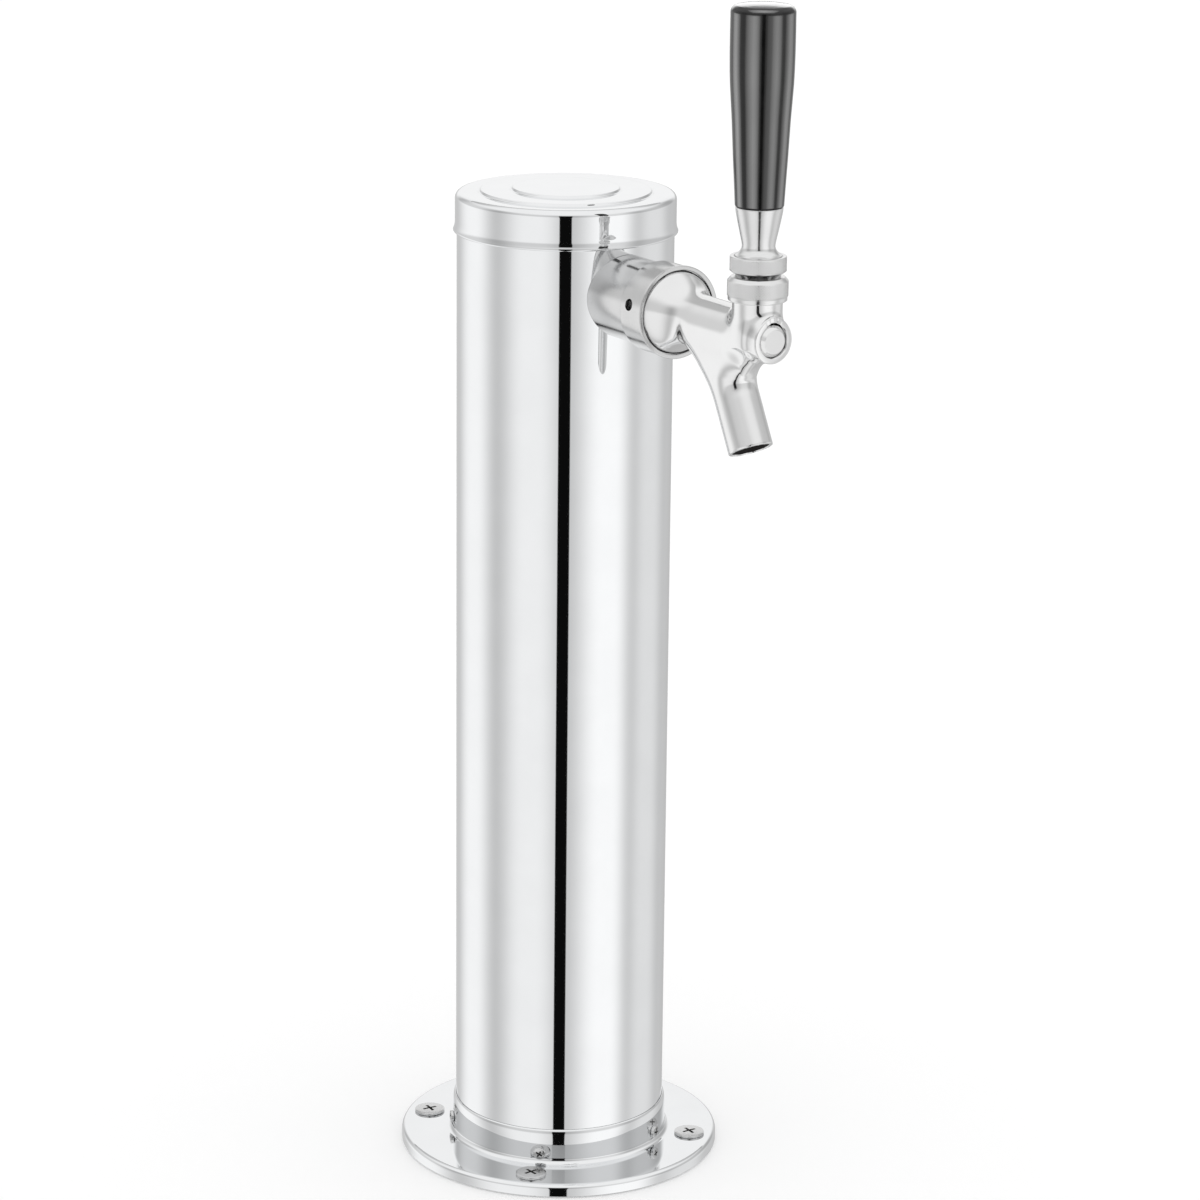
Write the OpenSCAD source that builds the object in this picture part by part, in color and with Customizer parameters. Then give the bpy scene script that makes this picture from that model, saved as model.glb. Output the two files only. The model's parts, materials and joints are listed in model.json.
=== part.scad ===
// Single faucet draft tower: a polished column on a bolted flange, with a rear sealing faucet.
// Millimetres, +Z up. The origin is the centre of the flange's underside, and the faucet looks along -Y.

/* [Column] */
// Height from the counter to the raised centre of the cap
tower_h = 356; // [340:1:380]
// Outer diameter of the column tube
column_d = 76.2; // [75:0.1:78]
// Wall of the column tube
column_wall = 1.2; // [0.9:0.1:1.5]
// Distance of the faucet's centre line below the tower's top
tap_below_top = 32.25; // [32:0.25:60]

/* [Cap] */
// Height of the cap from the edge of its skirt to its raised centre
cap_h = 15.5; // [13:0.1:18]
// Sheet thickness of the cap
cap_wall = 0.55; // [0.4:0.05:0.7]
// Radial gap between the cap's skirt and the column
cap_gap = 0.08; // [0.05:0.01:0.1]
// Radius of the rounded upper edge
cap_edge_r = 2.4; // [1.5:0.1:3]
// Width of the top outside the outer raised ring
cap_rim_w = 8.83; // [7:0.01:12]
// Width between the outer raised ring and the raised centre
cap_ring_w = 11.15; // [8:0.05:14]
// Rise of each step on the top
cap_step_h = 0.8; // [0.4:0.1:1]
// How far the skirt's foot swells outwards
cap_bead = 0.65; // [0.3:0.05:0.8]
// Thickness of the rubber ring between the cap and the column's end
cap_seal_t = 1; // [0.8:0.1:1.4]

/* [Base] */
// Width of the base flange outside its neck
flange_w = 18.9; // [18:0.1:24]
// Thickness of the base flange
flange_t = 4.6; // [4.2:0.1:6]
// Radius of the flange's rounded upper edge
flange_edge_r = 1.7; // [1:0.1:2]
// Height of the flange's neck above the counter
neck_h = 17.6; // [16:0.1:22]
// Wall of the neck
neck_wall = 1.05; // [0.9:0.05:1.4]
// Height of the rounded lip at the neck's top
neck_lip_h = 3.8; // [2:0.1:5]
// Radius of the fillet at the neck's foot
neck_fillet_r = 2.2; // [1.5:0.1:3]
// How far the bolt circle lies outside the middle of the flange's flat top
bolt_shift = 0.25; // [-0.5:0.05:0.5]
// Number of flange screws
flange_screws_n = 4; // [3:1:6]
// Shank diameter of a flange screw
flange_screw_d = 4.8; // [4:0.1:5.2]
// Head diameter of a flange screw
flange_head_d = 11; // [9.5:0.1:11.4]
// Length of a flange screw below the counter
flange_screw_reach = 22; // [15:1:40]
// Number of screws that hold the column in the neck
collar_screws_n = 5; // [3:1:6]
// Direction of the first of those screws, from +X towards +Y
collar_screw_turn = 10.5; // [0:0.5:72]
// Shank diameter of a collar screw
collar_screw_d = 3.2; // [2.5:0.1:3.5]
// Head diameter of a collar screw
collar_head_d = 5.6; // [5:0.1:6.2]
// Thickness of the rubber gasket in the flange's underside
base_gasket_t = 2.2; // [1.5:0.1:2.6]
// Width of the ledge that the column stands on, round the hole for the beer line and cold air
ledge_w = 4.2; // [2.5:0.1:8]

/* [Insulation] */
// Diameter of the passage through the foam sleeve
foam_bore_d = 42; // [36:1:50]
// Thickness of the foam plug under the cap
foam_plug_t = 9; // [6:0.5:10]

/* [Shank] */
// Outer diameter of the shank's thread
shank_d = 22.2; // [21:0.1:23]
// Bore of the shank
shank_bore_d = 6.35; // [5:0.05:8]
// Diameter of the collar between the column and the coupling nut
collar_d = 28.9; // [28:0.1:31]
// Length of that collar in front of the column
collar_len = 18.9; // [16:0.1:24]
// Diameter of the coupling nut
coupling_d = 31.4; // [31.2:0.1:34]
// Length of the coupling nut
coupling_len = 12.5; // [12:0.1:16]
// Diameter of the thread between the coupling nut and the faucet
coupling_thread_d = 28.5; // [27.5:0.1:28.9]
// Diameter of a spanner hole in the coupling nut
spanner_hole_d = 4.1; // [3:0.1:4.6]
// Number of spanner holes
spanner_holes_n = 3; // [1:1:4]
// Width across the flats of the lock nut and the tail nut
shank_nut_af = 28.6; // [27.5:0.1:30]
// Inner diameter of the beer line that the tail takes
beer_line_id = 4.8; // [4:0.1:6]

/* [Faucet] */
// Distance of the lever's axis in front of the coupling nut's rear face
lever_reach = 57.2; // [56:0.1:60]
// Diameter of the barrel
barrel_d = 16.8; // [16.4:0.1:18]
// Diameter of the vertical neck under the bonnet
neck_d = 16.7; // [16.2:0.1:17.2]
// Diameter of the boss at the front
boss_d = 15.1; // [14:0.1:16]
// Distance of the boss's face in front of the lever's axis
boss_reach = 9.5; // [9:0.1:12]
// Diameter of the shaft
shaft_d = 10.9; // [10:0.1:11.2]
// Radial gap between the shaft and its guide
shaft_gap = 0.06; // [0.02:0.01:0.1]
// Outer diameter of the spout
spout_d = 15.2; // [14.8:0.1:16.4]
// Wall of the spout
spout_wall = 1.2; // [1:0.05:1.6]
// Angle of the spout below the horizontal
spout_angle = 62.5; // [58:0.5:66]
// Length of the spout's straight stretch
spout_len = 19.2; // [15:0.1:30]

/* [Lever] */
// Height of the lever's ball above the faucet's centre line
pivot_h = 13.25; // [13.1:0.05:13.5]
// Diameter of the lever's ball
ball_d = 11.6; // [11.2:0.1:11.7]
// Gap between the ball and its seats
ball_gap = 0.08; // [0.04:0.01:0.1]
// Diameter of the ball at the lever's lower tip
tip_d = 4.6; // [4.2:0.1:4.8]
// How far the lever tilts forward to open the faucet
lever_tilt = 24; // [18:1:24]
// Diameter of the bonnet
bonnet_d = 20.2; // [19.8:0.1:22]
// Height of the bonnet
bonnet_h = 7.3; // [7.1:0.1:7.5]
// Diameter of the knurled lever collar
lever_collar_d = 18.8; // [18:0.1:20]
// Height of the knurled lever collar
lever_collar_h = 5.5; // [5:0.1:7]
// Diameter of the thread at the lever's upper end
lever_thread_d = 9.5; // [8:0.1:10]

/* [Handle] */
// Height of the ferrule
ferrule_h = 16.8; // [14:0.1:20]
// Diameter of the ferrule at the grip
ferrule_top_d = 15.9; // [15:0.1:17]
// Diameter of the ferrule's waist
ferrule_waist_d = 11; // [10.6:0.1:12]
// Height of the grip
grip_h = 66.2; // [50:0.1:90]
// Diameter of the grip at its foot
grip_foot_d = 16.1; // [15.5:0.1:17]
// Largest diameter of the grip
grip_d = 21.3; // [19:0.1:24]
// Radius of the grip's rounded upper edge
grip_edge_r = 2.6; // [1:0.1:4]
// Diameter of the stud that joins the grip and the ferrule
stud_d = 7.9; // [6:0.1:8.4]

/* [Hidden] */
$fn = 96;

// Steps in a drawn arc
arc_steps = 8;
// What a cut runs past the surface that it goes through, and the gap between seated pieces
over = 1;
seat_gap = 0.1;
thread_gap = 0.05;

// Colours
polished = "gainsboro";
satin = "silver";
chrome = "lightgray";
brass = "darkgoldenrod";
black_grip = "black";
rubber = "dimgray";
foam = "khaki";
nylon = "ivory";

// Column and cap
column_r = column_d / 2;
column_ri = column_r - column_wall;
column_chamfer = 0.5;
tap_z = tower_h - tap_below_top;
cap_z = tower_h - cap_h;
cap_ri = column_r + cap_gap;
cap_r = cap_ri + cap_wall;
cap_rim_z = tower_h - 2 * cap_step_h;
column_top_z = cap_rim_z - cap_wall - cap_seal_t - seat_gap;
cap_seal_w = 2.6;
cap_hem_r = 0.6;
cap_flare_h = 3.4;
cap_flare_power = 2.5;
cap_step_w = 0.7;
cap_ring_r = cap_r - cap_rim_w;
cap_centre_r = cap_ring_r - cap_ring_w;

// Base
neck_ri = column_r + seat_gap;
neck_r = neck_ri + neck_wall;
flange_r = neck_r + flange_w;
bolt_r = (neck_r + neck_fillet_r + flange_r - flange_edge_r) / 2 + bolt_shift;
ledge_t = 2;
line_hole_r = neck_ri - ledge_w;
flange_rim_w = 1.6;
gasket_outer_r = flange_r - flange_rim_w;
gasket_inset = 5.3;
gasket_inner_r = neck_r + gasket_inset;
screw_hole_gap = 0.35;
screw_shank_r = flange_screw_d / 2;
screw_shoulder = 0.15;
flange_hole_r = screw_shank_r + screw_hole_gap;
collar_hole_r = collar_screw_d / 2 + screw_hole_gap;
collar_screw_z = flange_t + neck_fillet_r + collar_head_d / 2;
flange_head_h = 1.2;
flange_head_edge = 0.35;
cross_w = 1.2;
cross_share = 0.62;
cross_depth_share = 0.8;
screw_tip_h = 4;
collar_head_h = 2;
collar_head_edge = 0.8;
collar_screw_in = 3;
first_flange_screw = 45;

// Insulation
foam_r = column_ri - seat_gap;
foam_foot_z = neck_h;
foam_clear_h = 6;

// Shank, along the faucet's centre line, measured forward from the column's axis
shank_r = shank_d / 2;
shank_gap = 0.1;
coupling_s = column_r + collar_len;
coupling_r = coupling_d / 2;
coupling_rim_w = 0.9;
coupling_rim_h = 0.3;
coupling_thread_r = coupling_thread_d / 2;
coupling_lip_t = 1.5;
shank_flange_t = 2.5;
shank_flange_r = coupling_thread_r - 1.2 * coupling_rim_w;
gasket_s = coupling_s + coupling_lip_t + shank_flange_t;
faucet_gasket_t = 1;
body_s = gasket_s + faucet_gasket_t;
cup_r = 8;
cup_depth = 3;
spacer_len = 9;
spacer_r = 14;
spacer_s = column_ri - spacer_len;
washer_t = 1.5;
lock_nut_h = 8;
lock_nut_s = spacer_s - washer_t - lock_nut_h;
tail_gap_len = 8.5;
shank_end_s = lock_nut_s - tail_gap_len;
tail_washer_t = 2;
tail_flange_t = 2.2;
tail_flange_r = shank_r - 1.5 * seat_gap;
tail_lip_t = 2;
tail_nut_len = 12;
tail_nut_s = shank_end_s - tail_washer_t - tail_flange_t - tail_lip_t;
tail_bore_share = 0.42;
barb_share = 0.56;
barb_tip_share = 0.7;
tail_bore_r = tail_bore_share * beer_line_id;
barb_r = barb_share * beer_line_id;
barb_tip_r = barb_tip_share * beer_line_id;
tail_bend_r = 8;
tail_neck_len = 3;
tail_bend_s = tail_nut_s - tail_neck_len;
barb_len = 18;
barb_ridge_h = 4;
barb_ridges_n = 3;
spanner_first_turn = 169;

// Faucet
lever_s = coupling_s + lever_reach;
barrel_r = barrel_d / 2;
neck_or = neck_d / 2;
boss_r = boss_d / 2;
boss_s = lever_s + boss_reach;
boss_edge = 0.5;
boss_back = 4.5;
bell_len = 16;
bell_fall = 6.1;
bell_power = 1.6;
bell_thread_len = 6.6;
seat_depth = 10;
seat_s = body_s + seat_depth;
cavity_r = 9.6;
seat_bore_r = 5.9;
drop_bore_r = 5.4;
drop_lean = 25.5;
guide_r = shaft_d / 2 + shaft_gap;
guide_back = 6;
spout_r = spout_d / 2;
spout_bore_r = spout_r - spout_wall;
bend_back = 10.8;
bend_drop = 21.7;
bend_s = lever_s - bend_back;
knuckle_step = 0.1;
knuckle_r = spout_r - knuckle_step;
drop_r = knuckle_r - knuckle_step;
drop_back = 12.2;
drop_s = lever_s - drop_back;
corner_up = (bend_s - drop_s) / cos(spout_angle);
corner_z = tap_z - bend_drop + corner_up * sin(spout_angle);
web_back = 28;
web_top_drop = 3.5;
web_r = drop_r - 2 * knuckle_step;
web_side_w = 6.2;
pivot_z = tap_z + pivot_h;
body_thread_h = 15.8;
body_thread_step = 0.45;
body_thread_r = neck_or - body_thread_step;
bonnet_foot_h = 12.25;
bonnet_z = tap_z + bonnet_foot_h;

// Shaft and valve
shaft_r = shaft_d / 2;
shaft_recess = 0.8;
shaft_front_s = boss_s - shaft_recess;
shaft_chamfer = 0.9;
shaft_head_len = 15.3;
shaft_head_s = shaft_front_s - shaft_head_len;
shaft_rod_r = 3;
shaft_thread_r = 2.4;
seat_rubber_r = 8.2;
seat_rubber_t = 2.7;
seat_rubber_s = seat_s - seat_gap - seat_rubber_t;
shaft_nut_t = 3.2;
shaft_nut_af = 8.5;
shaft_nut_s = seat_rubber_s - shaft_nut_t;
shaft_thread_end = 0.6;
shaft_end_s = shaft_nut_s - shaft_thread_end;
tip_r = tip_d / 2;
pocket_side_gap = 0.06;
pocket_end_gap = 0.2;
pocket_floor_gap = 0.3;
lever_foot_r = 2;

// Ball, bonnet and lever
ball_r = ball_d / 2;
socket_r = ball_r + ball_gap;
cup_bore_r = 6.35;
cup_floor_h = 3.4;
seat_rise_h = 1.4;
ring_rise_h = 1.6;
ring_top_h = 2.9;
slot_gap = 0.2;
bonnet_r = bonnet_d / 2;
bonnet_ring_h = 1.6;
bonnet_ring_step = 0.3;
bonnet_chamfer = 1.45;
bonnet_shoulder_h = pivot_z + ring_top_h + thread_gap;
bonnet_hole_r = 5.3;
bonnet_top_z = bonnet_z + bonnet_h;
bonnet_rim_w = 1.2;
bonnet_mouth_r = bonnet_r - bonnet_chamfer - bonnet_rim_w;
collar_gap = 2.1;
collar_edge = 0.9;
collar_bottom_r = lever_collar_d / 2 - collar_edge;
collar_bottom_z = bonnet_top_z + collar_gap;
collar_bottom_h = collar_bottom_z - pivot_z;
collar_top_z = collar_bottom_z + lever_collar_h;
collar_recess_h = 0.5;

// The hollow under the lever's collar clears the bonnet's two upper corners when the lever is tilted
tilt_gap = 0.35;
side_corner = [bonnet_r, bonnet_top_z - bonnet_chamfer - pivot_z];
top_corner = [bonnet_r - bonnet_chamfer, bonnet_top_z - pivot_z];
hollow_r = sqrt(pow(norm(side_corner) + tilt_gap, 2) - pow(collar_bottom_h, 2));
hollow_h = norm(top_corner) * cos(atan(top_corner[0] / top_corner[1]) - lever_tilt) + tilt_gap;
lever_rod_r = 3;
lever_neck_r = 3.5;
lever_thread_r = lever_thread_d / 2;
lever_thread_z = pivot_z + hollow_h;
lever_thread_len = 7.2;
lever_top_z = collar_top_z + lever_thread_len;

// Handle
ferrule_z = collar_top_z - collar_recess_h;
ferrule_top_z = ferrule_z + ferrule_h;
ferrule_foot_r = 7.9;
ferrule_foot_h = 1.2;
collar_recess_r = ferrule_foot_r + seat_gap;
stud_z = lever_top_z + seat_gap;
stud_len = 24;
grip_z = ferrule_top_z;
// Heights and radii up the ferrule's waist, and up the grip's side, from the narrow end to the wide one
ferrule_shares = [[0.16, 0.14], [0.21, 0], [0.32, 0.13], [0.6, 0.53], [0.87, 0.9], [0.97, 1], [1, 0.97]];
grip_shares = [[0, 0], [0.24, 0.34], [0.44, 0.58], [0.55, 0.77], [0.65, 0.94], [0.76, 1]];

// Points of an arc about [x, y]
function arc(x, y, r, from, to) =
    [for (i = [0:arc_steps]) let (a = from + (to - from) * i / arc_steps) [x + r * cos(a), y + r * sin(a)]];

// Puts a shape drawn about Z onto the faucet's centre line, where its Z runs forward
module on_tap() {
    translate([0, 0, tap_z])
        rotate([90, 0, 0])
            children();
}

// Puts a shape onto the lever's vertical axis
module on_lever() {
    translate([0, -lever_s, 0])
        children();
}

// A cylinder that stands on a height
module disc(r, z, h) {
    translate([0, 0, z])
        cylinder(r = r, h = h);
}

// A ring between two radii, standing on a height
module ring(r, ri, z, h) {
    difference() {
        disc(r, z, h);
        disc(ri, z - over, h + 2 * over);
    }
}

// A six sided nut blank, standing on a height
module hexagon(af, z, h) {
    translate([0, 0, z])
        cylinder(r = af / (2 * cos(30)), h = h, $fn = 6);
}

// A screw along Z with its head's underside at zero, a domed head, a cross recess and a shoulder under the head
module cross_screw(head_r, head_h, head_edge, shank, shoulder_h, length, tip) {
    dome_r = (pow(head_r, 2) + pow(head_h - head_edge, 2)) / (2 * (head_h - head_edge));
    difference() {
        union() {
            intersection() {
                cylinder(r = head_r, h = head_h);
                translate([0, 0, head_h - dome_r])
                    sphere(r = dome_r);
            }
            disc(shank + screw_shoulder, -shoulder_h, shoulder_h + head_edge / 2);
            disc(shank, tip - length, length - tip);
            translate([0, 0, -length])
                cylinder(r1 = 0, r2 = shank, h = tip);
        }
        for (turn = [0, 90])
            rotate([0, 0, turn])
                translate([-head_r * cross_share, -cross_w / 2, head_h * (1 - cross_depth_share)])
                    cube([2 * head_r * cross_share, cross_w, head_h + over]);
    }
}

// The places of the flange screws
module at_flange_screws() {
    for (i = [0:flange_screws_n - 1])
        rotate([0, 0, first_flange_screw + i * 360 / flange_screws_n])
            translate([bolt_r, 0, 0])
                rotate([0, 0, first_flange_screw])
                    children();
}

// The places of the collar screws, whose Z points outwards
module at_collar_screws() {
    for (i = [0:collar_screws_n - 1])
        rotate([0, 0, collar_screw_turn + i * 360 / collar_screws_n])
            translate([neck_r, 0, collar_screw_z])
                rotate([0, 90, 0])
                    children();
}

module base_flange() {
    edge = arc(flange_r - flange_edge_r, flange_t - flange_edge_r, flange_edge_r, 0, 90);
    fillet = arc(neck_r + neck_fillet_r, flange_t + neck_fillet_r, neck_fillet_r, 270, 180);
    lip = [for (i = [0:arc_steps]) let (a = 90 * i / arc_steps)
        [neck_ri + neck_wall * cos(a), neck_h - neck_lip_h + neck_lip_h * sin(a)]];
    color(polished)
        difference() {
            rotate_extrude()
                polygon(concat(
                    [[line_hole_r, 0], [gasket_inner_r, 0], [gasket_inner_r, base_gasket_t]],
                    [[gasket_outer_r, base_gasket_t], [gasket_outer_r, 0], [flange_r, 0]],
                    edge, fillet, lip,
                    [[neck_ri, ledge_t], [line_hole_r, ledge_t]]
                ));
            at_flange_screws()
                disc(flange_hole_r, -over, flange_t + 2 * over);
            at_collar_screws()
                disc(collar_hole_r, -neck_wall - over, neck_wall + 2 * over);
        }
}

module base_gasket() {
    color(rubber)
        difference() {
            ring(gasket_outer_r - seat_gap, gasket_inner_r + seat_gap, 0, base_gasket_t);
            at_flange_screws()
                disc(flange_hole_r, -over, flange_t + over);
        }
}

module flange_screws() {
    color(satin)
        at_flange_screws()
            translate([0, 0, flange_t])
                cross_screw(flange_head_d / 2, flange_head_h, flange_head_edge, screw_shank_r, flange_t,
                    flange_screw_reach + flange_t, screw_tip_h);
}

module collar_screws() {
    color(satin)
        at_collar_screws()
            cross_screw(collar_head_d / 2, collar_head_h, collar_head_edge, collar_screw_d / 2, neck_wall,
                neck_wall + column_wall + collar_screw_in, collar_screw_in / 2);
}

module column_tube() {
    color(polished)
        difference() {
            union() {
                disc(column_r, ledge_t, column_top_z - column_chamfer - ledge_t);
                translate([0, 0, column_top_z - column_chamfer])
                    cylinder(r1 = column_r, r2 = column_r - column_chamfer, h = column_chamfer);
            }
            disc(column_ri, 0, tower_h);
            on_tap()
                cylinder(r = shank_r + shank_gap, h = column_r + over);
            at_collar_screws()
                disc(collar_hole_r, -neck_wall - column_wall - over, column_wall + over);
        }
}

module foam_sleeve() {
    foam_top_z = tap_z - tail_bend_r - barb_len - foam_clear_h;
    color(foam)
        ring(foam_r, foam_bore_d / 2, foam_foot_z, foam_top_z - foam_foot_z);
}

module foam_plug() {
    color(foam)
        disc(foam_r, column_top_z - foam_plug_t - over, foam_plug_t);
}

module top_cap() {
    flare = [for (i = [1:arc_steps]) let (t = i / arc_steps)
        [cap_r + cap_bead * pow(1 - t, cap_flare_power), cap_z + cap_hem_r + cap_flare_h * t]];
    outer = concat(
        [[cap_ri, cap_z]],
        arc(cap_r + cap_bead - cap_hem_r, cap_z + cap_hem_r, cap_hem_r, -90, 0),
        flare,
        arc(cap_r - cap_edge_r, cap_rim_z - cap_edge_r, cap_edge_r, 0, 90)
    );
    steps = [
        [cap_ring_r + cap_step_w, cap_rim_z],
        [cap_ring_r, cap_rim_z + cap_step_h],
        [cap_centre_r + cap_step_w, cap_rim_z + cap_step_h],
        [cap_centre_r, tower_h],
        [0, tower_h]
    ];
    inner = [
        [0, tower_h - cap_wall],
        [cap_centre_r - cap_step_w, tower_h - cap_wall],
        [cap_centre_r, cap_rim_z + cap_step_h - cap_wall],
        [cap_ring_r - cap_step_w, cap_rim_z + cap_step_h - cap_wall],
        [cap_ring_r, cap_rim_z - cap_wall]
    ];
    corner = arc(cap_r - cap_edge_r, cap_rim_z - cap_edge_r, cap_edge_r - cap_wall, 90, 0);
    color(polished)
        rotate_extrude()
            polygon(concat(outer, steps, inner, corner));
}

module cap_seal() {
    seal_r = cap_r - cap_edge_r;
    color(rubber)
        ring(seal_r, column_ri - cap_seal_w / 2, cap_rim_z - cap_wall - cap_seal_t, cap_seal_t);
}

module shank() {
    color(satin)
        on_tap()
            difference() {
                union() {
                    disc(shank_r, shank_end_s, gasket_s - shank_end_s);
                    disc(shank_flange_r, coupling_s + coupling_lip_t, shank_flange_t);
                }
                disc(shank_bore_d / 2, shank_end_s - over, gasket_s - shank_end_s + 2 * over);
                disc(cup_r, gasket_s - cup_depth, cup_depth + over);
            }
}

module shank_collar() {
    color(satin)
        difference() {
            on_tap()
                ring(collar_d / 2, shank_r + shank_gap, 0, coupling_s);
            disc(column_r + thread_gap, 0, tower_h);
        }
}

module inner_spacer() {
    color(satin)
        intersection() {
            on_tap()
                ring(spacer_r, shank_r + shank_gap, spacer_s, column_r);
            disc(column_ri - thread_gap, 0, tower_h);
        }
}

module spacer_washer() {
    color(satin)
        on_tap()
            ring(spacer_r, shank_r + shank_gap, spacer_s - washer_t, washer_t);
}

module shank_lock_nut() {
    color(satin)
        on_tap()
            difference() {
                hexagon(shank_nut_af, lock_nut_s, lock_nut_h);
                disc(shank_r + thread_gap, lock_nut_s - over, lock_nut_h + 2 * over);
            }
}

module tail_washer() {
    color(rubber)
        on_tap()
            ring(tail_flange_r, shank_bore_d / 2, shank_end_s - tail_washer_t, tail_washer_t);
}

// The bent tube of the tail, at a radius
module tail_path(r) {
    flange_s = shank_end_s - tail_washer_t;
    on_tap()
        disc(r, tail_bend_s, flange_s - tail_bend_s);
    translate([0, -tail_bend_s, tap_z - tail_bend_r])
        rotate([0, -90, 0])
            rotate_extrude(angle = 90)
                translate([tail_bend_r, 0])
                    circle(r = r);
}

module tail_elbow() {
    barb_y = tail_bend_r - tail_bend_s;
    barb_top_z = tap_z - tail_bend_r;
    color(chrome)
        difference() {
            union() {
                on_tap()
                    disc(tail_flange_r, shank_end_s - tail_washer_t - tail_flange_t, tail_flange_t);
                tail_path(barb_r);
                translate([0, barb_y, barb_top_z - barb_len]) {
                    cylinder(r = barb_r, h = barb_len);
                    for (i = [0:barb_ridges_n - 1])
                        translate([0, 0, i * barb_ridge_h])
                            cylinder(r1 = barb_r, r2 = barb_tip_r, h = barb_ridge_h);
                }
            }
            tail_path(tail_bore_r);
            on_tap()
                disc(tail_bore_r, tail_bend_s, shank_end_s - tail_bend_s);
            translate([0, barb_y, barb_top_z - barb_len - over])
                cylinder(r = tail_bore_r, h = barb_len + over);
        }
}

module tail_nut() {
    color(satin)
        on_tap()
            difference() {
                hexagon(shank_nut_af, tail_nut_s, tail_nut_len);
                disc(shank_r + thread_gap, tail_nut_s + tail_lip_t, tail_nut_len);
                disc(barb_r + seat_gap, tail_nut_s - over, tail_nut_len);
            }
}

module coupling_nut() {
    rim_s = coupling_s + coupling_len - coupling_rim_w;
    color(satin)
        on_tap()
            difference() {
                union() {
                    disc(coupling_r, coupling_s, coupling_len);
                    disc(coupling_r + coupling_rim_h, rim_s, coupling_rim_w);
                }
                disc(shank_r + shank_gap, coupling_s - over, coupling_len);
                disc(coupling_thread_r + thread_gap, coupling_s + coupling_lip_t, coupling_len);
                disc(coupling_r - coupling_rim_w, rim_s - coupling_rim_w, coupling_len);
                for (i = [0:spanner_holes_n - 1])
                    rotate([0, 0, spanner_first_turn + i * 360 / spanner_holes_n])
                        translate([0, 0, coupling_s + coupling_lip_t + shank_flange_t + faucet_gasket_t])
                            rotate([0, 90, 0])
                                cylinder(r = spanner_hole_d / 2, h = coupling_r + over);
            }
}

module faucet_gasket() {
    color(rubber)
        on_tap()
            ring(shank_flange_r, cup_r, gasket_s, faucet_gasket_t);
}

// Outline of the bell, the barrel and the boss: radius against distance forward
module barrel_outline() {
    bell_s = body_s + bell_thread_len;
    spread = coupling_thread_r - barrel_r;
    curve = [for (i = [0:2 * arc_steps]) let (t = i / (2 * arc_steps))
        [barrel_r + spread * exp(-pow(bell_len * t / bell_fall, bell_power)), bell_s + bell_len * t]];
    polygon(concat(
        [[0, body_s], [coupling_thread_r, body_s]],
        curve,
        [[barrel_r, lever_s + boss_back]],
        [[boss_r, lever_s + boss_back + barrel_r - boss_r]],
        [[boss_r, boss_s - boss_edge], [boss_r - boss_edge, boss_s], [0, boss_s]]
    ));
}

// The web's round back edge, from the spout's bend up into the barrel, and the plate that fills its inside
module web() {
    run = web_back - bend_back;
    rise = bend_drop - web_top_drop;
    translate([0, -bend_s, tap_z - bend_drop])
        rotate([-atan(run / rise), 0, 0])
            cylinder(r = web_r, h = norm([run, rise]));
    translate([-web_side_w, 0, 0])
        rotate([90, 0, 90])
            linear_extrude(height = 2 * web_side_w)
                polygon([
                    [-bend_s, tap_z - bend_drop],
                    [-drop_s, corner_z],
                    [-drop_s, tap_z - web_top_drop],
                    [web_back - lever_s, tap_z - web_top_drop]
                ]);
}

// Puts a shape drawn along Z onto the spout's axis, at the bend, where Z runs to the mouth
module on_spout() {
    translate([0, -bend_s, tap_z - bend_drop])
        rotate([90 + spout_angle, 0, 0])
            children();
}

module faucet_body() {
    slot_back = (pivot_h - guide_r) * tan(lever_tilt) + slot_gap;
    slot_r = tip_r + slot_gap;
    color(chrome)
        difference() {
            union() {
                on_tap()
                    rotate_extrude()
                        barrel_outline();
                on_spout()
                    disc(spout_r, -corner_up, corner_up + spout_len);
                on_spout()
                    translate([0, 0, -corner_up])
                        sphere(r = knuckle_r);
                translate([0, -drop_s, corner_z])
                    cylinder(r = drop_r, h = tap_z - web_top_drop - corner_z);
                web();
                on_lever() {
                    disc(neck_or, tap_z, bonnet_z - tap_z);
                    disc(body_thread_r, tap_z, body_thread_h);
                }
            }
            on_tap() {
                disc(cavity_r, body_s - over, seat_depth + over);
                disc(seat_bore_r, body_s, shaft_head_s - body_s);
                disc(guide_r, shaft_head_s - guide_back, boss_s + over + guide_back - shaft_head_s);
            }
            on_spout()
                disc(spout_bore_r, 0, spout_len + over);
            translate([0, -bend_s, tap_z - bend_drop])
                rotate([-drop_lean, 0, 0])
                    disc(drop_bore_r, -2 * over, bend_drop / cos(drop_lean) + 2 * over);
            on_lever() {
                disc(cup_bore_r, pivot_z - cup_floor_h, pivot_h);
                translate([0, 0, pivot_z])
                    sphere(r = socket_r);
                disc(slot_r, tap_z, pivot_h - cup_floor_h + over);
                translate([0, slot_back, tap_z])
                    cylinder(r = slot_r, h = pivot_h - cup_floor_h + over);
                translate([-slot_r, 0, tap_z])
                    cube([2 * slot_r, slot_back, pivot_h - cup_floor_h + over]);
            }
        }
}

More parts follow.
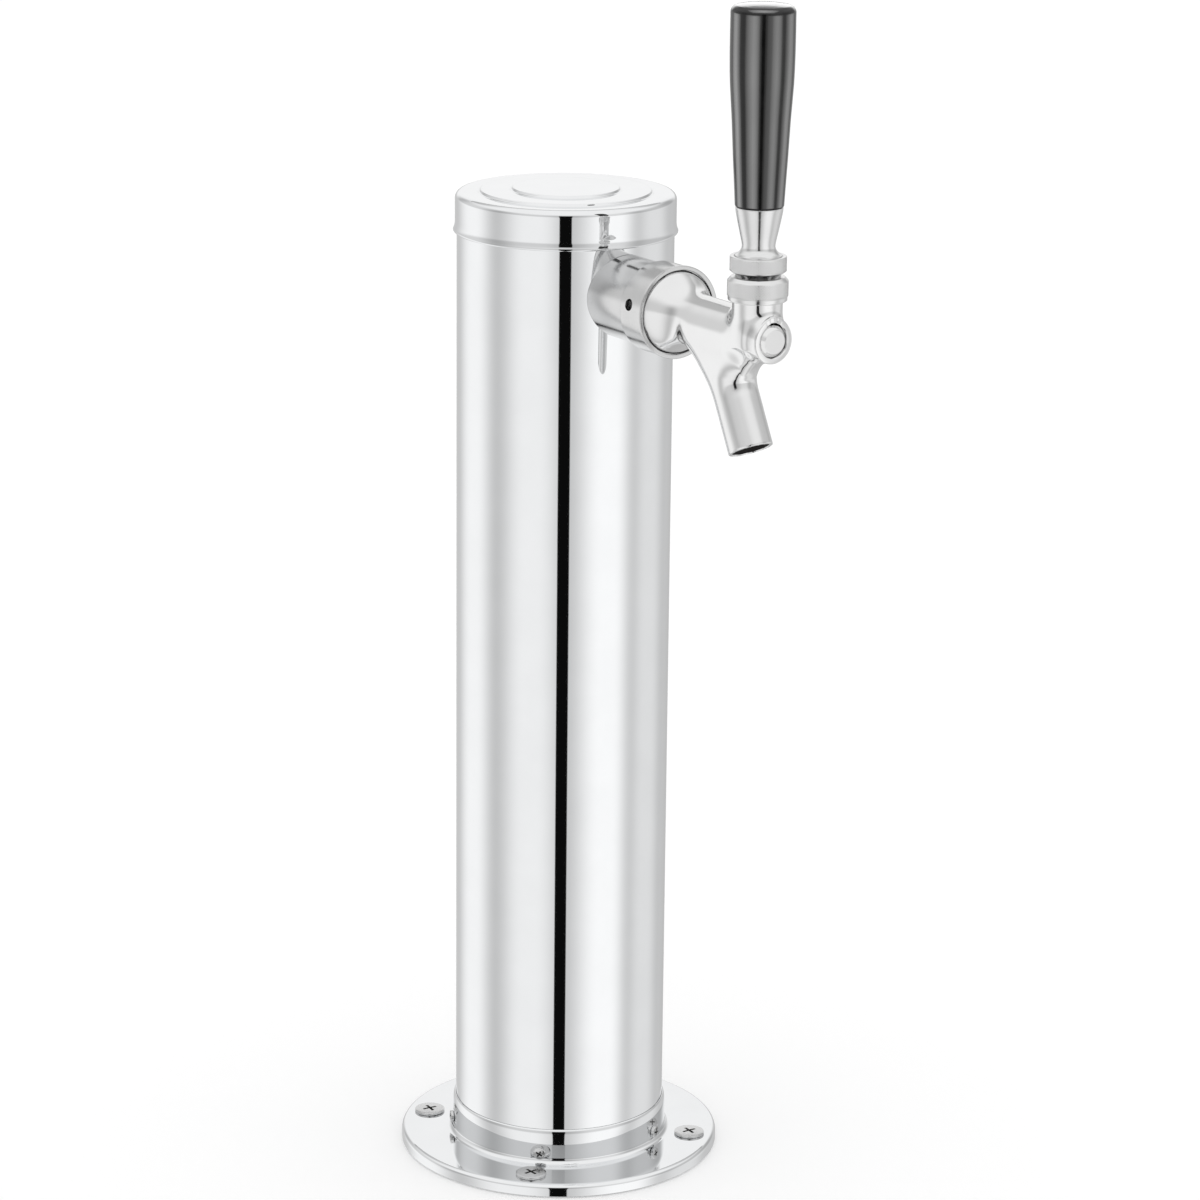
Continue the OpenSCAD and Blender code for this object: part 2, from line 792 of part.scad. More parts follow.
module shaft() {
    half_w = tip_r + pocket_side_gap;
    half_l = tip_r + pocket_end_gap;
    lead = shaft_r * tan(lever_tilt) + lever_foot_r / cos(lever_tilt) + pocket_end_gap;
    color(chrome)
        on_tap()
            difference() {
                union() {
                    disc(shaft_r, shaft_head_s, shaft_head_len - shaft_chamfer);
                    translate([0, 0, shaft_front_s - shaft_chamfer])
                        cylinder(r1 = shaft_r, r2 = shaft_r - shaft_chamfer, h = shaft_chamfer);
                    disc(shaft_rod_r, seat_s - seat_gap, shaft_head_s - seat_s + seat_gap);
                    disc(shaft_thread_r, shaft_end_s, seat_s - shaft_end_s);
                }
                translate([-half_w, -tip_r - pocket_floor_gap, lever_s - half_l])
                    cube([2 * half_w, shaft_d, 2 * half_l]);
                translate([-half_w, tip_r / 2, lever_s - half_l])
                    cube([2 * half_w, shaft_d, half_l + lead]);
            }
}

module seat_washer() {
    color(rubber)
        on_tap()
            ring(seat_rubber_r, shaft_thread_r + thread_gap, seat_rubber_s, seat_rubber_t);
}

module shaft_nut() {
    color(brass)
        on_tap()
            difference() {
                hexagon(shaft_nut_af, shaft_nut_s, shaft_nut_t);
                disc(shaft_thread_r + thread_gap, shaft_nut_s - over, shaft_nut_t + 2 * over);
            }
}

// A ring about the ball, between two heights above its centre
module ball_ring(from, to, r) {
    difference() {
        disc(r, pivot_z + from, to - from);
        translate([0, 0, pivot_z])
            sphere(r = socket_r);
    }
}

module ball_seat() {
    color(nylon)
        on_lever()
            ball_ring(-cup_floor_h, -seat_rise_h, cup_bore_r - seat_gap);
}

module friction_ring() {
    color(nylon)
        on_lever()
            ball_ring(ring_rise_h, ring_top_h, cup_bore_r - seat_gap);
}

module bonnet() {
    side = [
        [body_thread_r + thread_gap, bonnet_z],
        [bonnet_r - 2 * bonnet_ring_step, bonnet_z],
        [bonnet_r - bonnet_ring_step, bonnet_z + bonnet_ring_step],
        [bonnet_r - bonnet_ring_step, bonnet_z + bonnet_ring_h],
        [bonnet_r, bonnet_z + bonnet_ring_h + bonnet_ring_step],
        [bonnet_r, bonnet_top_z - bonnet_chamfer],
        [bonnet_r - bonnet_chamfer, bonnet_top_z],
        [bonnet_mouth_r, bonnet_top_z],
        [bonnet_hole_r, bonnet_shoulder_h],
        [body_thread_r + thread_gap, bonnet_shoulder_h]
    ];
    color(chrome)
        on_lever()
            rotate_extrude()
                polygon(side);
}

module lever() {
    tip = arc(0, tap_z, tip_r, -90, acos(lever_foot_r / tip_r));
    rod = [
        [lever_foot_r, pivot_z],
        [lever_rod_r, pivot_z],
        [lever_rod_r, pivot_z + ring_top_h],
        [lever_neck_r, bonnet_top_z],
        [lever_neck_r, lever_thread_z],
        [lever_thread_r, lever_thread_z],
        [lever_thread_r, lever_top_z],
        [0, lever_top_z]
    ];
    color(chrome)
        on_lever() {
            translate([0, 0, pivot_z])
                sphere(r = ball_r);
            rotate_extrude()
                polygon(concat(tip, rod));
        }
}

module lever_collar() {
    half = lever_collar_d / 2;
    side = [
        [lever_thread_r + thread_gap, lever_thread_z],
        [hollow_r, lever_thread_z],
        [hollow_r, collar_bottom_z],
        [collar_bottom_r, collar_bottom_z],
        [half, collar_bottom_z + collar_edge],
        [half, collar_top_z - collar_edge / 2],
        [half - collar_edge / 2, collar_top_z],
        [collar_recess_r, collar_top_z],
        [collar_recess_r, collar_top_z - collar_recess_h],
        [lever_thread_r + thread_gap, collar_top_z - collar_recess_h]
    ];
    color(chrome)
        on_lever()
            rotate_extrude()
                polygon(side);
}

module handle_ferrule() {
    waist_r = ferrule_waist_d / 2;
    swell = ferrule_top_d / 2 - waist_r;
    side = [for (p = ferrule_shares) [waist_r + swell * p[1], ferrule_z + ferrule_h * p[0]]];
    foot = [
        [ferrule_foot_r, ferrule_z],
        [ferrule_foot_r, ferrule_z + collar_recess_h],
        [(ferrule_foot_r + waist_r) / 2, ferrule_z + ferrule_foot_h]
    ];
    color(chrome)
        on_lever()
            difference() {
                rotate_extrude()
                    polygon(concat([[0, ferrule_z]], foot, side, [[0, ferrule_top_z]]));
                disc(lever_thread_r + thread_gap, ferrule_z - over, lever_top_z - ferrule_z + over);
                disc(stud_d / 2 + thread_gap, ferrule_z, ferrule_h + over);
            }
}

module handle_stud() {
    color(brass)
        on_lever()
            disc(stud_d / 2, stud_z, stud_len);
}

module handle_grip() {
    foot_r = grip_foot_d / 2;
    swell = grip_d / 2 - foot_r;
    top_z = grip_z + grip_h;
    side = [for (p = grip_shares) [foot_r + swell * p[1], grip_z + grip_h * p[0]]];
    edge = arc(grip_d / 2 - grip_edge_r, top_z - grip_edge_r, grip_edge_r, 0, 80);
    color(black_grip)
        on_lever()
            difference() {
                rotate_extrude()
                    polygon(concat([[0, grip_z]], side, edge, [[0, top_z]]));
                disc(stud_d / 2 + thread_gap, grip_z - over, stud_z + stud_len - grip_z + over + seat_gap);
            }
}

base_flange();
base_gasket();
flange_screws();
collar_screws();
column_tube();
foam_sleeve();
foam_plug();
top_cap();
cap_seal();
shank();
shank_collar();
inner_spacer();
spacer_washer();
shank_lock_nut();
tail_washer();
tail_elbow();
tail_nut();
coupling_nut();
faucet_gasket();
faucet_body();
shaft();
seat_washer();
shaft_nut();
ball_seat();
friction_ring();
bonnet();
lever();
lever_collar();
handle_ferrule();
handle_stud();
handle_grip();
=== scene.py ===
"""Looks of a draft tower: polished column, stepped cap, satin shank, chrome faucet and black grip.

Sizes are in millimetres and angles in degrees, unless a name or a comment says otherwise.
"""

import json
import logging
import math
from dataclasses import dataclass
from enum import Enum

import bmesh
import bpy
import numpy as np
from mathutils import Matrix, Vector


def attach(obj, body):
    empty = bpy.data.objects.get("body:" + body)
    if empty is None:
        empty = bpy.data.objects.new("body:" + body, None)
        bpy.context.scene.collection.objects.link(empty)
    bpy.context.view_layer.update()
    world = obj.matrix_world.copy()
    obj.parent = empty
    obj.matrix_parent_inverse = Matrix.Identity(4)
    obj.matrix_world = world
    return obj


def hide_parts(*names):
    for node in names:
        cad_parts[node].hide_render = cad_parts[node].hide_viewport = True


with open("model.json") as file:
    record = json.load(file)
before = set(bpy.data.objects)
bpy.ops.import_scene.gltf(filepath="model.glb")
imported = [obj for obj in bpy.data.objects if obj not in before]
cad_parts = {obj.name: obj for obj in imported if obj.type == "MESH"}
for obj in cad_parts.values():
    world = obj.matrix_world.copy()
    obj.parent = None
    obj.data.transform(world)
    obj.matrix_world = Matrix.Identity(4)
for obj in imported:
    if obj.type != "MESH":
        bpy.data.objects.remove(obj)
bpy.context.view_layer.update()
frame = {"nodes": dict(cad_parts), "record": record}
MM = 0.001
TAP_Z = 323.75
LEVER_S = 114.2
ON_TAP = Matrix.Translation((0, 0, TAP_Z * MM)) @ Matrix.Rotation(math.radians(90), 4, "X")
ON_LEVER = Matrix.Translation((0, -LEVER_S * MM, 0))
Pair = tuple[float, float]
Triple = tuple[float, float, float]
log = logging.getLogger("draft_tower")


def linear(hex_code: str) -> tuple[float, float, float, float]:
    """Turn an sRGB hex colour into Blender's linear colour.

    Args:
        hex_code: the colour as "#RRGGBB".

    Returns:
        Red, green, blue and a full alpha, all linear.
    """
    channels = [int(hex_code[i : i + 2], 16) / 255 for i in (1, 3, 5)]
    return (*[c / 12.92 if c <= 0.04045 else ((c + 0.055) / 1.055) ** 2.4 for c in channels], 1.0)


def add_node(
    tree: bpy.types.NodeTree, kind: str, inputs: dict | None = None, **settings: str
) -> bpy.types.Node:
    """Add one node with its settings, and set or link its inputs.

    Args:
        tree: the tree that the node joins.
        kind: Blender's name of the node.
        inputs: by socket name or number, a value or the output socket that feeds it.
        settings: attributes of the node itself.

    Returns:
        The new node.
    """
    made = tree.nodes.new(kind)
    for name, value in settings.items():
        setattr(made, name, value)
    for name, value in (inputs or {}).items():
        if isinstance(value, bpy.types.NodeSocket):
            tree.links.new(value, made.inputs[name])
        else:
            made.inputs[name].default_value = value
    return made


@dataclass(frozen=True)
class Band:
    """A soft vertical panel of the studio, by its turn from the camera in degrees."""

    turn: float
    half_width: float
    fade_left: float
    fade_right: float
    strength: float


@dataclass(frozen=True)
class SoftBox:
    """A lamp near the grip, by its turn from the camera and its rise, that fades out at its edges."""

    turn: float
    rise: float
    half_width: float
    half_height: float
    fade_out: float
    strength: float


@dataclass(frozen=True)
class Studio:
    """White sweep, tall soft panels with a dark slit between them, and the camera.

    Turns are from the camera's side of the tower and rises from level. The camera's place and
    sight, the lamps' distance and the floor are in metres.
    """

    camera_turn: float = -33.5
    camera_place: Triple = (-0.7842, -1.1848, 0.61054)
    camera_pitch: float = 15.881
    camera_roll: float = 0.597
    camera_yaw: float = 0.538
    lens_mm: float = 123.64
    sensor_mm: float = 36.0
    sight: float = 50.0
    room_level: float = 0.62
    upper_level: float = 1.0
    upper_share: float = 0.72
    upper_rises: Pair = (-3.0, 9.0)
    ceiling_rises: Pair = (16.0, 46.0)
    behind_turns: Pair = (140.0, 168.0)
    slit_halves: Pair = (6.3, 7.0)
    slit_rises: Pair = (-4.0, 12.0)
    slit_soft: Pair = (-0.6, 0.6)
    slit_ends: Pair = (21.0, 25.0)
    slit_level: float = 0.004
    shelf_line: float = 31.0
    shelf_rises: Pair = (33.0, 62.0)
    shelf_turns: Pair = (105.0, 150.0)
    shelf_level: float = 0.55
    edge_turns: Pair = (115.0, 158.0)
    edge_widths: Pair = (28.0, 0.8)
    line_half: float = 0.7
    line_turns: Pair = (135.0, 160.0)
    line_level: float = 0.3
    bands: tuple[Band, ...] = (
        Band(50.0, 4.0, 50.0, 34.0, 0.50),
        Band(-35.0, 4.0, 44.0, 44.0, 0.38),
        Band(106.0, 2.0, 36.0, 34.0, 0.22),
        Band(-112.0, 2.0, 46.0, 40.0, 0.44),
        Band(180.0, 4.0, 40.0, 1.0, -0.09),
    )
    boxes: tuple[SoftBox, ...] = (
        SoftBox(-37.0, -12.0, 26.0, 16.0, 30.0, 4.8),
        SoftBox(-22.5, -12.0, 13.0, 16.0, 22.0, 2.0),
        SoftBox(53.0, -12.0, 19.0, 16.0, 24.0, 3.2),
        SoftBox(42.0, -12.0, 26.0, 16.0, 40.0, 1.5),
        SoftBox(-106.0, -12.0, 20.0, 16.0, 24.0, 3.9),
        SoftBox(110.0, -12.0, 24.0, 16.0, 28.0, 2.6),
        SoftBox(180.0, 15.0, 34.0, 9.0, 40.0, 1.7),
        SoftBox(0.0, 72.0, 34.0, 24.0, 46.0, 6.0),
    )
    box_away: float = 0.6
    grip_middle_z: float = 400.0
    floor_size: float = 12.0
    floor_z: float = -0.0004
    floor_lift: float = 0.13

    def ramp(
        self,
        tree: bpy.types.NodeTree,
        value: bpy.types.NodeSocket,
        span: Pair,
        levels: Pair = (0.0, 1.0),
    ) -> bpy.types.NodeSocket:
        """Turn a value's run over a span into a smooth run between two levels.

        Args:
            tree: the world's nodes.
            value: the value that runs.
            span: where its run begins and ends.
            levels: the levels at both ends.

        Returns:
            The level.
        """
        made = add_node(
            tree,
            "ShaderNodeMapRange",
            {
                "Value": value,
                "From Min": span[0],
                "From Max": span[1],
                "To Min": levels[0],
                "To Max": levels[1],
            },
            interpolation_type="SMOOTHERSTEP",
        )
        return made.outputs[0]

    def sums(
        self,
        tree: bpy.types.NodeTree,
        kind: str,
        a: bpy.types.NodeSocket | float,
        b: bpy.types.NodeSocket | float,
    ) -> bpy.types.NodeSocket:
        """Join two values by one operation of a Math node."""
        return add_node(tree, "ShaderNodeMath", {0: a, 1: b}, operation=kind).outputs[0]

    def mixed(
        self,
        tree: bpy.types.NodeTree,
        share: bpy.types.NodeSocket,
        a: bpy.types.NodeSocket | float,
        b: bpy.types.NodeSocket | float,
    ) -> bpy.types.NodeSocket:
        """Fade from one value to another.

        Args:
            tree: the world's nodes.
            share: how far the fade has gone.
            a: the first value.
            b: the last value.

        Returns:
            The value between them.
        """
        inputs = {"Factor": share, "A": a, "B": b}
        return add_node(tree, "ShaderNodeMix", inputs, data_type="FLOAT").outputs[0]

    def panels(self, tree: bpy.types.NodeTree, turn: bpy.types.NodeSocket) -> bpy.types.NodeSocket:
        """Add up the vertical panels round the room.

        Args:
            tree: the world's nodes.
            turn: the direction's turn from the camera.

        Returns:
            How bright the wall is there.
        """
        total = add_node(tree, "ShaderNodeValue").outputs[0]
        total.default_value = self.room_level
        for band in self.bands:
            away = self.sums(tree, "SUBTRACT", turn, band.turn)
            left = self.ramp(
                tree, away, (-band.half_width - band.fade_left, -band.half_width), (0, band.strength)
            )
            right = self.ramp(tree, away, (band.half_width, band.half_width + band.fade_right))
            fall = self.sums(tree, "SUBTRACT", 1.0, right)
            total = self.sums(tree, "ADD", total, self.sums(tree, "MULTIPLY", left, fall))
        return total

    def light_world(self) -> None:
        """White to the camera, an even level to matt surfaces, and the panels to glossy ones."""
        world = bpy.data.worlds.new("studio_panels")
        world.use_nodes = True
        tree = world.node_tree
        tree.nodes.clear()
        place = add_node(tree, "ShaderNodeTexCoord")
        turned = add_node(
            tree,
            "ShaderNodeVectorRotate",
            {"Vector": place.outputs["Generated"], "Angle": math.radians(90 - self.camera_turn)},
            rotation_type="Z_AXIS",
        )
        around = add_node(
            tree, "ShaderNodeTexGradient", {"Vector": turned.outputs[0]}, gradient_type="RADIAL"
        )
        turn = add_node(
            tree,
            "ShaderNodeMath",
            {0: around.outputs["Fac"], 1: 360.0, 2: -180.0},
            operation="MULTIPLY_ADD",
        ).outputs[0]
        off = self.sums(tree, "ABSOLUTE", turn, 0.0)
        upward = add_node(tree, "ShaderNodeSeparateXYZ", {0: place.outputs["Generated"]})
        rise = self.sums(
            tree, "MULTIPLY", self.sums(tree, "ARCSINE", upward.outputs["Z"], 0.0), math.degrees(1)
        )
        # The walls: panels below, evener above, and an even ceiling over them
        behind = self.ramp(tree, off, self.behind_turns)
        panels = self.panels(tree, turn)
        dimmer = self.sums(tree, "MULTIPLY", panels, self.upper_share)
        upper = self.mixed(tree, behind, dimmer, self.upper_level)
        walls = self.mixed(tree, self.ramp(tree, rise, self.upper_rises), panels, upper)
        walls = self.mixed(tree, self.ramp(tree, rise, self.ceiling_rises), walls, self.upper_level)
        # A grey shelf behind the tower, whose edge is sharp only straight behind
        shelf = self.mixed(
            tree, self.ramp(tree, rise, self.shelf_rises), self.shelf_level, self.upper_level
        )
        above = self.sums(tree, "SUBTRACT", rise, self.shelf_line)
        edge = self.ramp(tree, off, self.edge_turns, self.edge_widths)
        over = self.ramp(tree, self.sums(tree, "DIVIDE", above, edge), (0.0, 1.0))
        over = self.sums(tree, "MULTIPLY", over, self.ramp(tree, off, self.shelf_turns))
        walls = self.mixed(tree, over, walls, shelf)
        line = self.sums(tree, "LESS_THAN", self.sums(tree, "ABSOLUTE", above, 0.0), self.line_half)
        line = self.sums(tree, "MULTIPLY", line, self.ramp(tree, off, self.line_turns))
        walls = self.mixed(tree, line, walls, self.line_level)
        # The dark slit at the camera's side, which the column shows as its black stripe
        half = self.ramp(tree, rise, self.slit_rises, self.slit_halves)
        inside = self.ramp(tree, self.sums(tree, "SUBTRACT", off, half), self.slit_soft, (1.0, 0.0))
        below = self.ramp(tree, rise, self.slit_ends, (1.0, 0.0))
        seen = self.mixed(tree, self.sums(tree, "MULTIPLY", inside, below), walls, self.slit_level)
        path = add_node(tree, "ShaderNodeLightPath")
        glossy = self.mixed(tree, path.outputs["Is Glossy Ray"], 1.0, seen)
        back = add_node(tree, "ShaderNodeBackground", {"Color": linear("#FFFFFF"), "Strength": glossy})
        add_node(tree, "ShaderNodeOutputWorld", {"Surface": back.outputs[0]})
        bpy.context.scene.world = world

    def light_grip(self, grip: bpy.types.Object) -> None:
        """Stand soft boxes round the black grip, which light nothing but it.

        Args:
            grip: the grip, whose gloss shows them as its bright and dark stripes.
        """
        only = bpy.data.collections.new("grip_only")
        only.objects.link(grip)
        middle = Vector((0, -LEVER_S, self.grip_middle_z)) * MM
        to_camera = Vector(self.camera_place) - middle
        facing = math.atan2(to_camera.y, to_camera.x)
        for i, box in enumerate(self.boxes):
            data = bpy.data.lights.new(f"grip_box_{i + 1}", "AREA")
            data.shape = "RECTANGLE"
            data.size = 2 * self.box_away * math.tan(math.radians(box.half_width))
            data.size_y = 2 * self.box_away * math.tan(math.radians(box.half_height))
            fade_out = math.radians(box.fade_out)
            data.spread = 2 * fade_out
            # A narrower spread makes a lamp brighter straight ahead, which this takes back
            peak = math.tan(fade_out) / (math.tan(fade_out) - fade_out)
            data.energy = box.strength / peak * math.pi * data.size * data.size_y
            lamp = bpy.data.objects.new(data.name, data)
            bpy.context.collection.objects.link(lamp)
            way, rise = facing + math.radians(box.turn), math.radians(box.rise)
            flat = math.cos(rise)
            out = Vector((math.cos(way) * flat, math.sin(way) * flat, math.sin(rise)))
            lamp.location = middle + self.box_away * out
            lamp.rotation_euler = out.to_track_quat("Z", "Y").to_euler()
            lamp.visible_camera = False
            lamp.light_linking.receiver_collection = only

    def place_camera(self) -> None:
        """Stand the camera where the photograph was taken from."""
        pitch, roll, yaw = map(math.radians, (self.camera_pitch, self.camera_roll, self.camera_yaw))
        flat = math.cos(pitch)
        ahead = Vector((math.sin(yaw) * flat, math.cos(yaw) * flat, -math.sin(pitch)))
        level = Vector((math.cos(yaw), -math.sin(yaw), 0))
        upward = level.cross(ahead)
        right = math.cos(roll) * level + math.sin(roll) * upward
        up = -math.sin(roll) * level + math.cos(roll) * upward
        spin = Matrix.Rotation(math.radians(self.camera_turn), 3, "Z")
        data = bpy.data.cameras.new("photo_view")
        data.lens, data.sensor_width, data.clip_end = self.lens_mm, self.sensor_mm, self.sight
        camera = bpy.data.objects.new("photo_view", data)
        bpy.context.collection.objects.link(camera)
        columns = [spin @ v for v in (right, up, -ahead)]
        turn = Matrix(columns).transposed().to_4x4()
        camera.matrix_world = Matrix.Translation(Vector(self.camera_place)) @ turn
        bpy.context.scene.camera = camera

    def lay_floor(self) -> None:
        """Lay a plain white floor, no part of the tower, that takes its soft shadow."""
        bpy.ops.object.select_all(action="DESELECT")
        bpy.ops.mesh.primitive_plane_add(size=self.floor_size, location=(0, 0, self.floor_z))
        floor = bpy.context.active_object
        floor.name = "floor"
        paint = bpy.data.materials.new("matt_white_floor")
        paint.use_nodes = True
        tree = paint.node_tree
        tree.nodes.clear()
        path = add_node(tree, "ShaderNodeLightPath")
        matt = add_node(tree, "ShaderNodeBsdfDiffuse", {"Color": linear("#F4F4F4")})
        glow = {"Color": linear("#FFFFFF"), "Strength": self.floor_lift}
        lift = add_node(tree, "ShaderNodeEmission", glow)
        both = add_node(tree, "ShaderNodeAddShader", {0: matt.outputs[0], 1: lift.outputs[0]})
        seen = add_node(
            tree,
            "ShaderNodeMixShader",
            {0: path.outputs["Is Camera Ray"], 1: matt.outputs[0], 2: both.outputs[0]},
        )
        add_node(tree, "ShaderNodeOutputMaterial", {"Surface": seen.outputs[0]})
        floor.data.materials.append(paint)
        floor.visible_glossy = False


def arc(r: float, z: float, radius: float, start: float, stop: float, steps: int = 8) -> list[Pair]:
    """Round a corner of an outline.

    Args:
        r: the corner circle's centre, from the axis.
        z: the corner circle's height.
        radius: its radius.
        start: the first direction in degrees, from outwards towards up.
        stop: the last direction.
        steps: how many straight steps it has.

    Returns:
        Its points, from first to last.
    """
    turns = [math.radians(start + (stop - start) * i / steps) for i in range(steps + 1)]
    return [(r + radius * math.cos(a), z + radius * math.sin(a)) for a in turns]


def held(outline: list[Pair], reach: float = 0.1) -> list[Pair]:
    """Add a point near both ends of each long straight, so that its flat or wall shades true.

    Args:
        outline: radius and height of each point, in mm.
        reach: how far from the ends the new points are.

    Returns:
        The outline with those points.
    """
    made = [outline[0]]
    for a, b in zip(outline, outline[1:]):
        length = math.dist(a, b)
        if length > 6 * reach:
            for share in (reach / length, 1 - reach / length):
                made.append((a[0] + (b[0] - a[0]) * share, a[1] + (b[1] - a[1]) * share))
        made.append(b)
    return made


def flow(points: list[Pair], steps: int = 6) -> list[Pair]:
    """Draw a smooth curve through a few measured points.

    Args:
        points: the points that it passes.
        steps: how many steps it has between two of them.

    Returns:
        The curve's points, with both ends.
    """
    ends = [points[0], *points, points[-1]]
    made = [points[0]]
    for p0, p1, p2, p3 in zip(ends, ends[1:], ends[2:], ends[3:]):
        for i in range(1, steps + 1):
            t = i / steps
            made.append(
                tuple(
                    0.5
                    * (
                        2 * b
                        + (c - a) * t
                        + (2 * a - 5 * b + 4 * c - d) * t * t
                        + (3 * b - a - 3 * c + d) * t**3
                    )
                    for a, b, c, d in zip(p0, p1, p2, p3)
                )
            )
    return made


def select_only(piece: bpy.types.Object) -> None:
    """Make a piece the only one selected, and the active one.

    Args:
        piece: the piece that the next operators work on.
    """
    bpy.ops.object.select_all(action="DESELECT")
    piece.select_set(True)
    bpy.context.view_layer.objects.active = piece


def turned(name: str, outline: list[Pair], steps: int = 160, smooth: float = 32) -> bpy.types.Object:
    """Turn an outline about the Z axis, as on a lathe.

    Args:
        name: the piece's name.
        outline: radius and height of each point in mm, closed where the last point is the first.
        steps: how many steps the turn has.
        smooth: edges flatter than this many degrees shade as round.

    Returns:
        The piece, about the origin's Z axis.
    """
    bpy.ops.object.select_all(action="DESELECT")
    bpy.ops.mesh.primitive_plane_add(size=MM)
    piece = bpy.context.active_object
    piece.name = piece.data.name = name
    points = held(outline)
    bpy.ops.object.mode_set(mode="EDIT")
    bpy.ops.mesh.select_all(action="SELECT")
    bpy.ops.mesh.merge(type="CENTER")
    bpy.ops.transform.translate(value=(points[0][0] * MM, 0, points[0][1] * MM))
    for a, b in zip(points, points[1:]):
        step = ((b[0] - a[0]) * MM, 0, (b[1] - a[1]) * MM)
        bpy.ops.mesh.extrude_vertices_move(TRANSFORM_OT_translate={"value": step})
    bpy.ops.mesh.select_all(action="SELECT")
    bpy.ops.mesh.spin(steps=steps, angle=2 * math.pi, center=(0, 0, 0), axis=(0, 0, 1))
    bpy.ops.mesh.select_all(action="SELECT")
    bpy.ops.mesh.remove_doubles(threshold=0.003 * MM)
    bpy.ops.mesh.normals_make_consistent(inside=False)
    bpy.ops.object.mode_set(mode="OBJECT")
    bpy.ops.object.shade_smooth_by_angle(angle=math.radians(smooth))
    return piece


def settle(piece: bpy.types.Object, place: Matrix) -> None:
    """Move a piece to its place and apply that to its mesh.

    Args:
        piece: a piece modelled about the origin.
        place: where its own frame goes.
    """
    select_only(piece)
    piece.matrix_world = place
    bpy.ops.object.transform_apply(location=True, rotation=True, scale=True)


def copies(piece: bpy.types.Object, name: str, count: int) -> list[bpy.types.Object]:
    """Copy a piece, each copy with its own mesh.

    Args:
        piece: the piece to copy, which is the first of its set.
        name: the set's name.
        count: how many copies to make.

    Returns:
        The copies, numbered from two.
    """
    made = []
    for i in range(count):
        select_only(piece)
        bpy.ops.object.duplicate(linked=False)
        made.append(bpy.context.active_object)
        made[-1].name = made[-1].data.name = f"{name}_{i + 2}"
    return made


def cut(piece: bpy.types.Object, tool: bpy.types.Object) -> None:
    """Cut one piece by another and delete the cutter.

    Args:
        piece: the piece that loses the cutter's form.
        tool: the cutter.
    """
    select_only(piece)
    boolean = piece.modifiers.new("cut", "BOOLEAN")
    boolean.object = tool
    boolean.operation = "DIFFERENCE"
    boolean.solver = "EXACT"
    bpy.ops.object.modifier_apply(modifier=boolean.name)
    bpy.data.objects.remove(tool)


def block(place: Triple, size: Triple, turn: float = 0.0) -> bpy.types.Object:
    """Add a block that a piece is cut by.

    Args:
        place: its middle in mm.
        size: its sides in mm.
        turn: its turn about the Z axis in degrees.

    Returns:
        The block, with its place in its mesh.
    """
    bpy.ops.object.select_all(action="DESELECT")
    bpy.ops.mesh.primitive_cube_add(size=MM, location=[c * MM for c in place])
    made = bpy.context.active_object
    made.scale = size
    made.rotation_euler.z = math.radians(turn)
    bpy.ops.object.transform_apply(location=True, rotation=True, scale=True)
    return made


def reshade(piece: bpy.types.Object, smooth: float) -> None:
    """Shade a cut piece's edges anew, round where flatter than so many degrees."""
    select_only(piece)
    bpy.ops.object.shade_smooth_by_angle(angle=math.radians(smooth))


def knurl(
    piece: bpy.types.Object, radius: float, span: Pair, count: int, depth: float, land: float = 0.2
) -> None:
    """Press diamonds into the wall of a turned piece, which has fine rows there.

    Args:
        piece: a piece about the origin's Z axis.
        radius: the wall's radius in mm.
        span: the heights where the diamonds begin and end.
        count: how many diamonds go round.
        depth: how deep the grooves are.
        land: how much of each diamond's slope is left flat at its top.
    """
    low, high = span
    pitch = 2 * math.pi * radius / count
    for vertex in piece.data.vertices:
        x, y, z = (c / MM for c in vertex.co)
        if abs(math.hypot(x, y) - radius) > 0.02 or not low <= z <= high:
            continue
        around = count * math.atan2(y, x) / (2 * math.pi)
        up = (z - low) / pitch
        ridges = [1 - abs(2 * ((around + side * up) % 1) - 1) for side in (1, -1)]
        drop = depth * (1 - min(1.0, min(ridges) / (1 - land)))
        shrink = (radius - drop) / math.hypot(x, y)
        vertex.co.x *= shrink
        vertex.co.y *= shrink


def rows(radius: float, low: float, high: float, step: float) -> list[Pair]:
    """Lay even rows of points up a wall, about a step apart."""
    count = round((high - low) / step)
    return [(radius, low + (high - low) * i / count) for i in range(count + 1)]


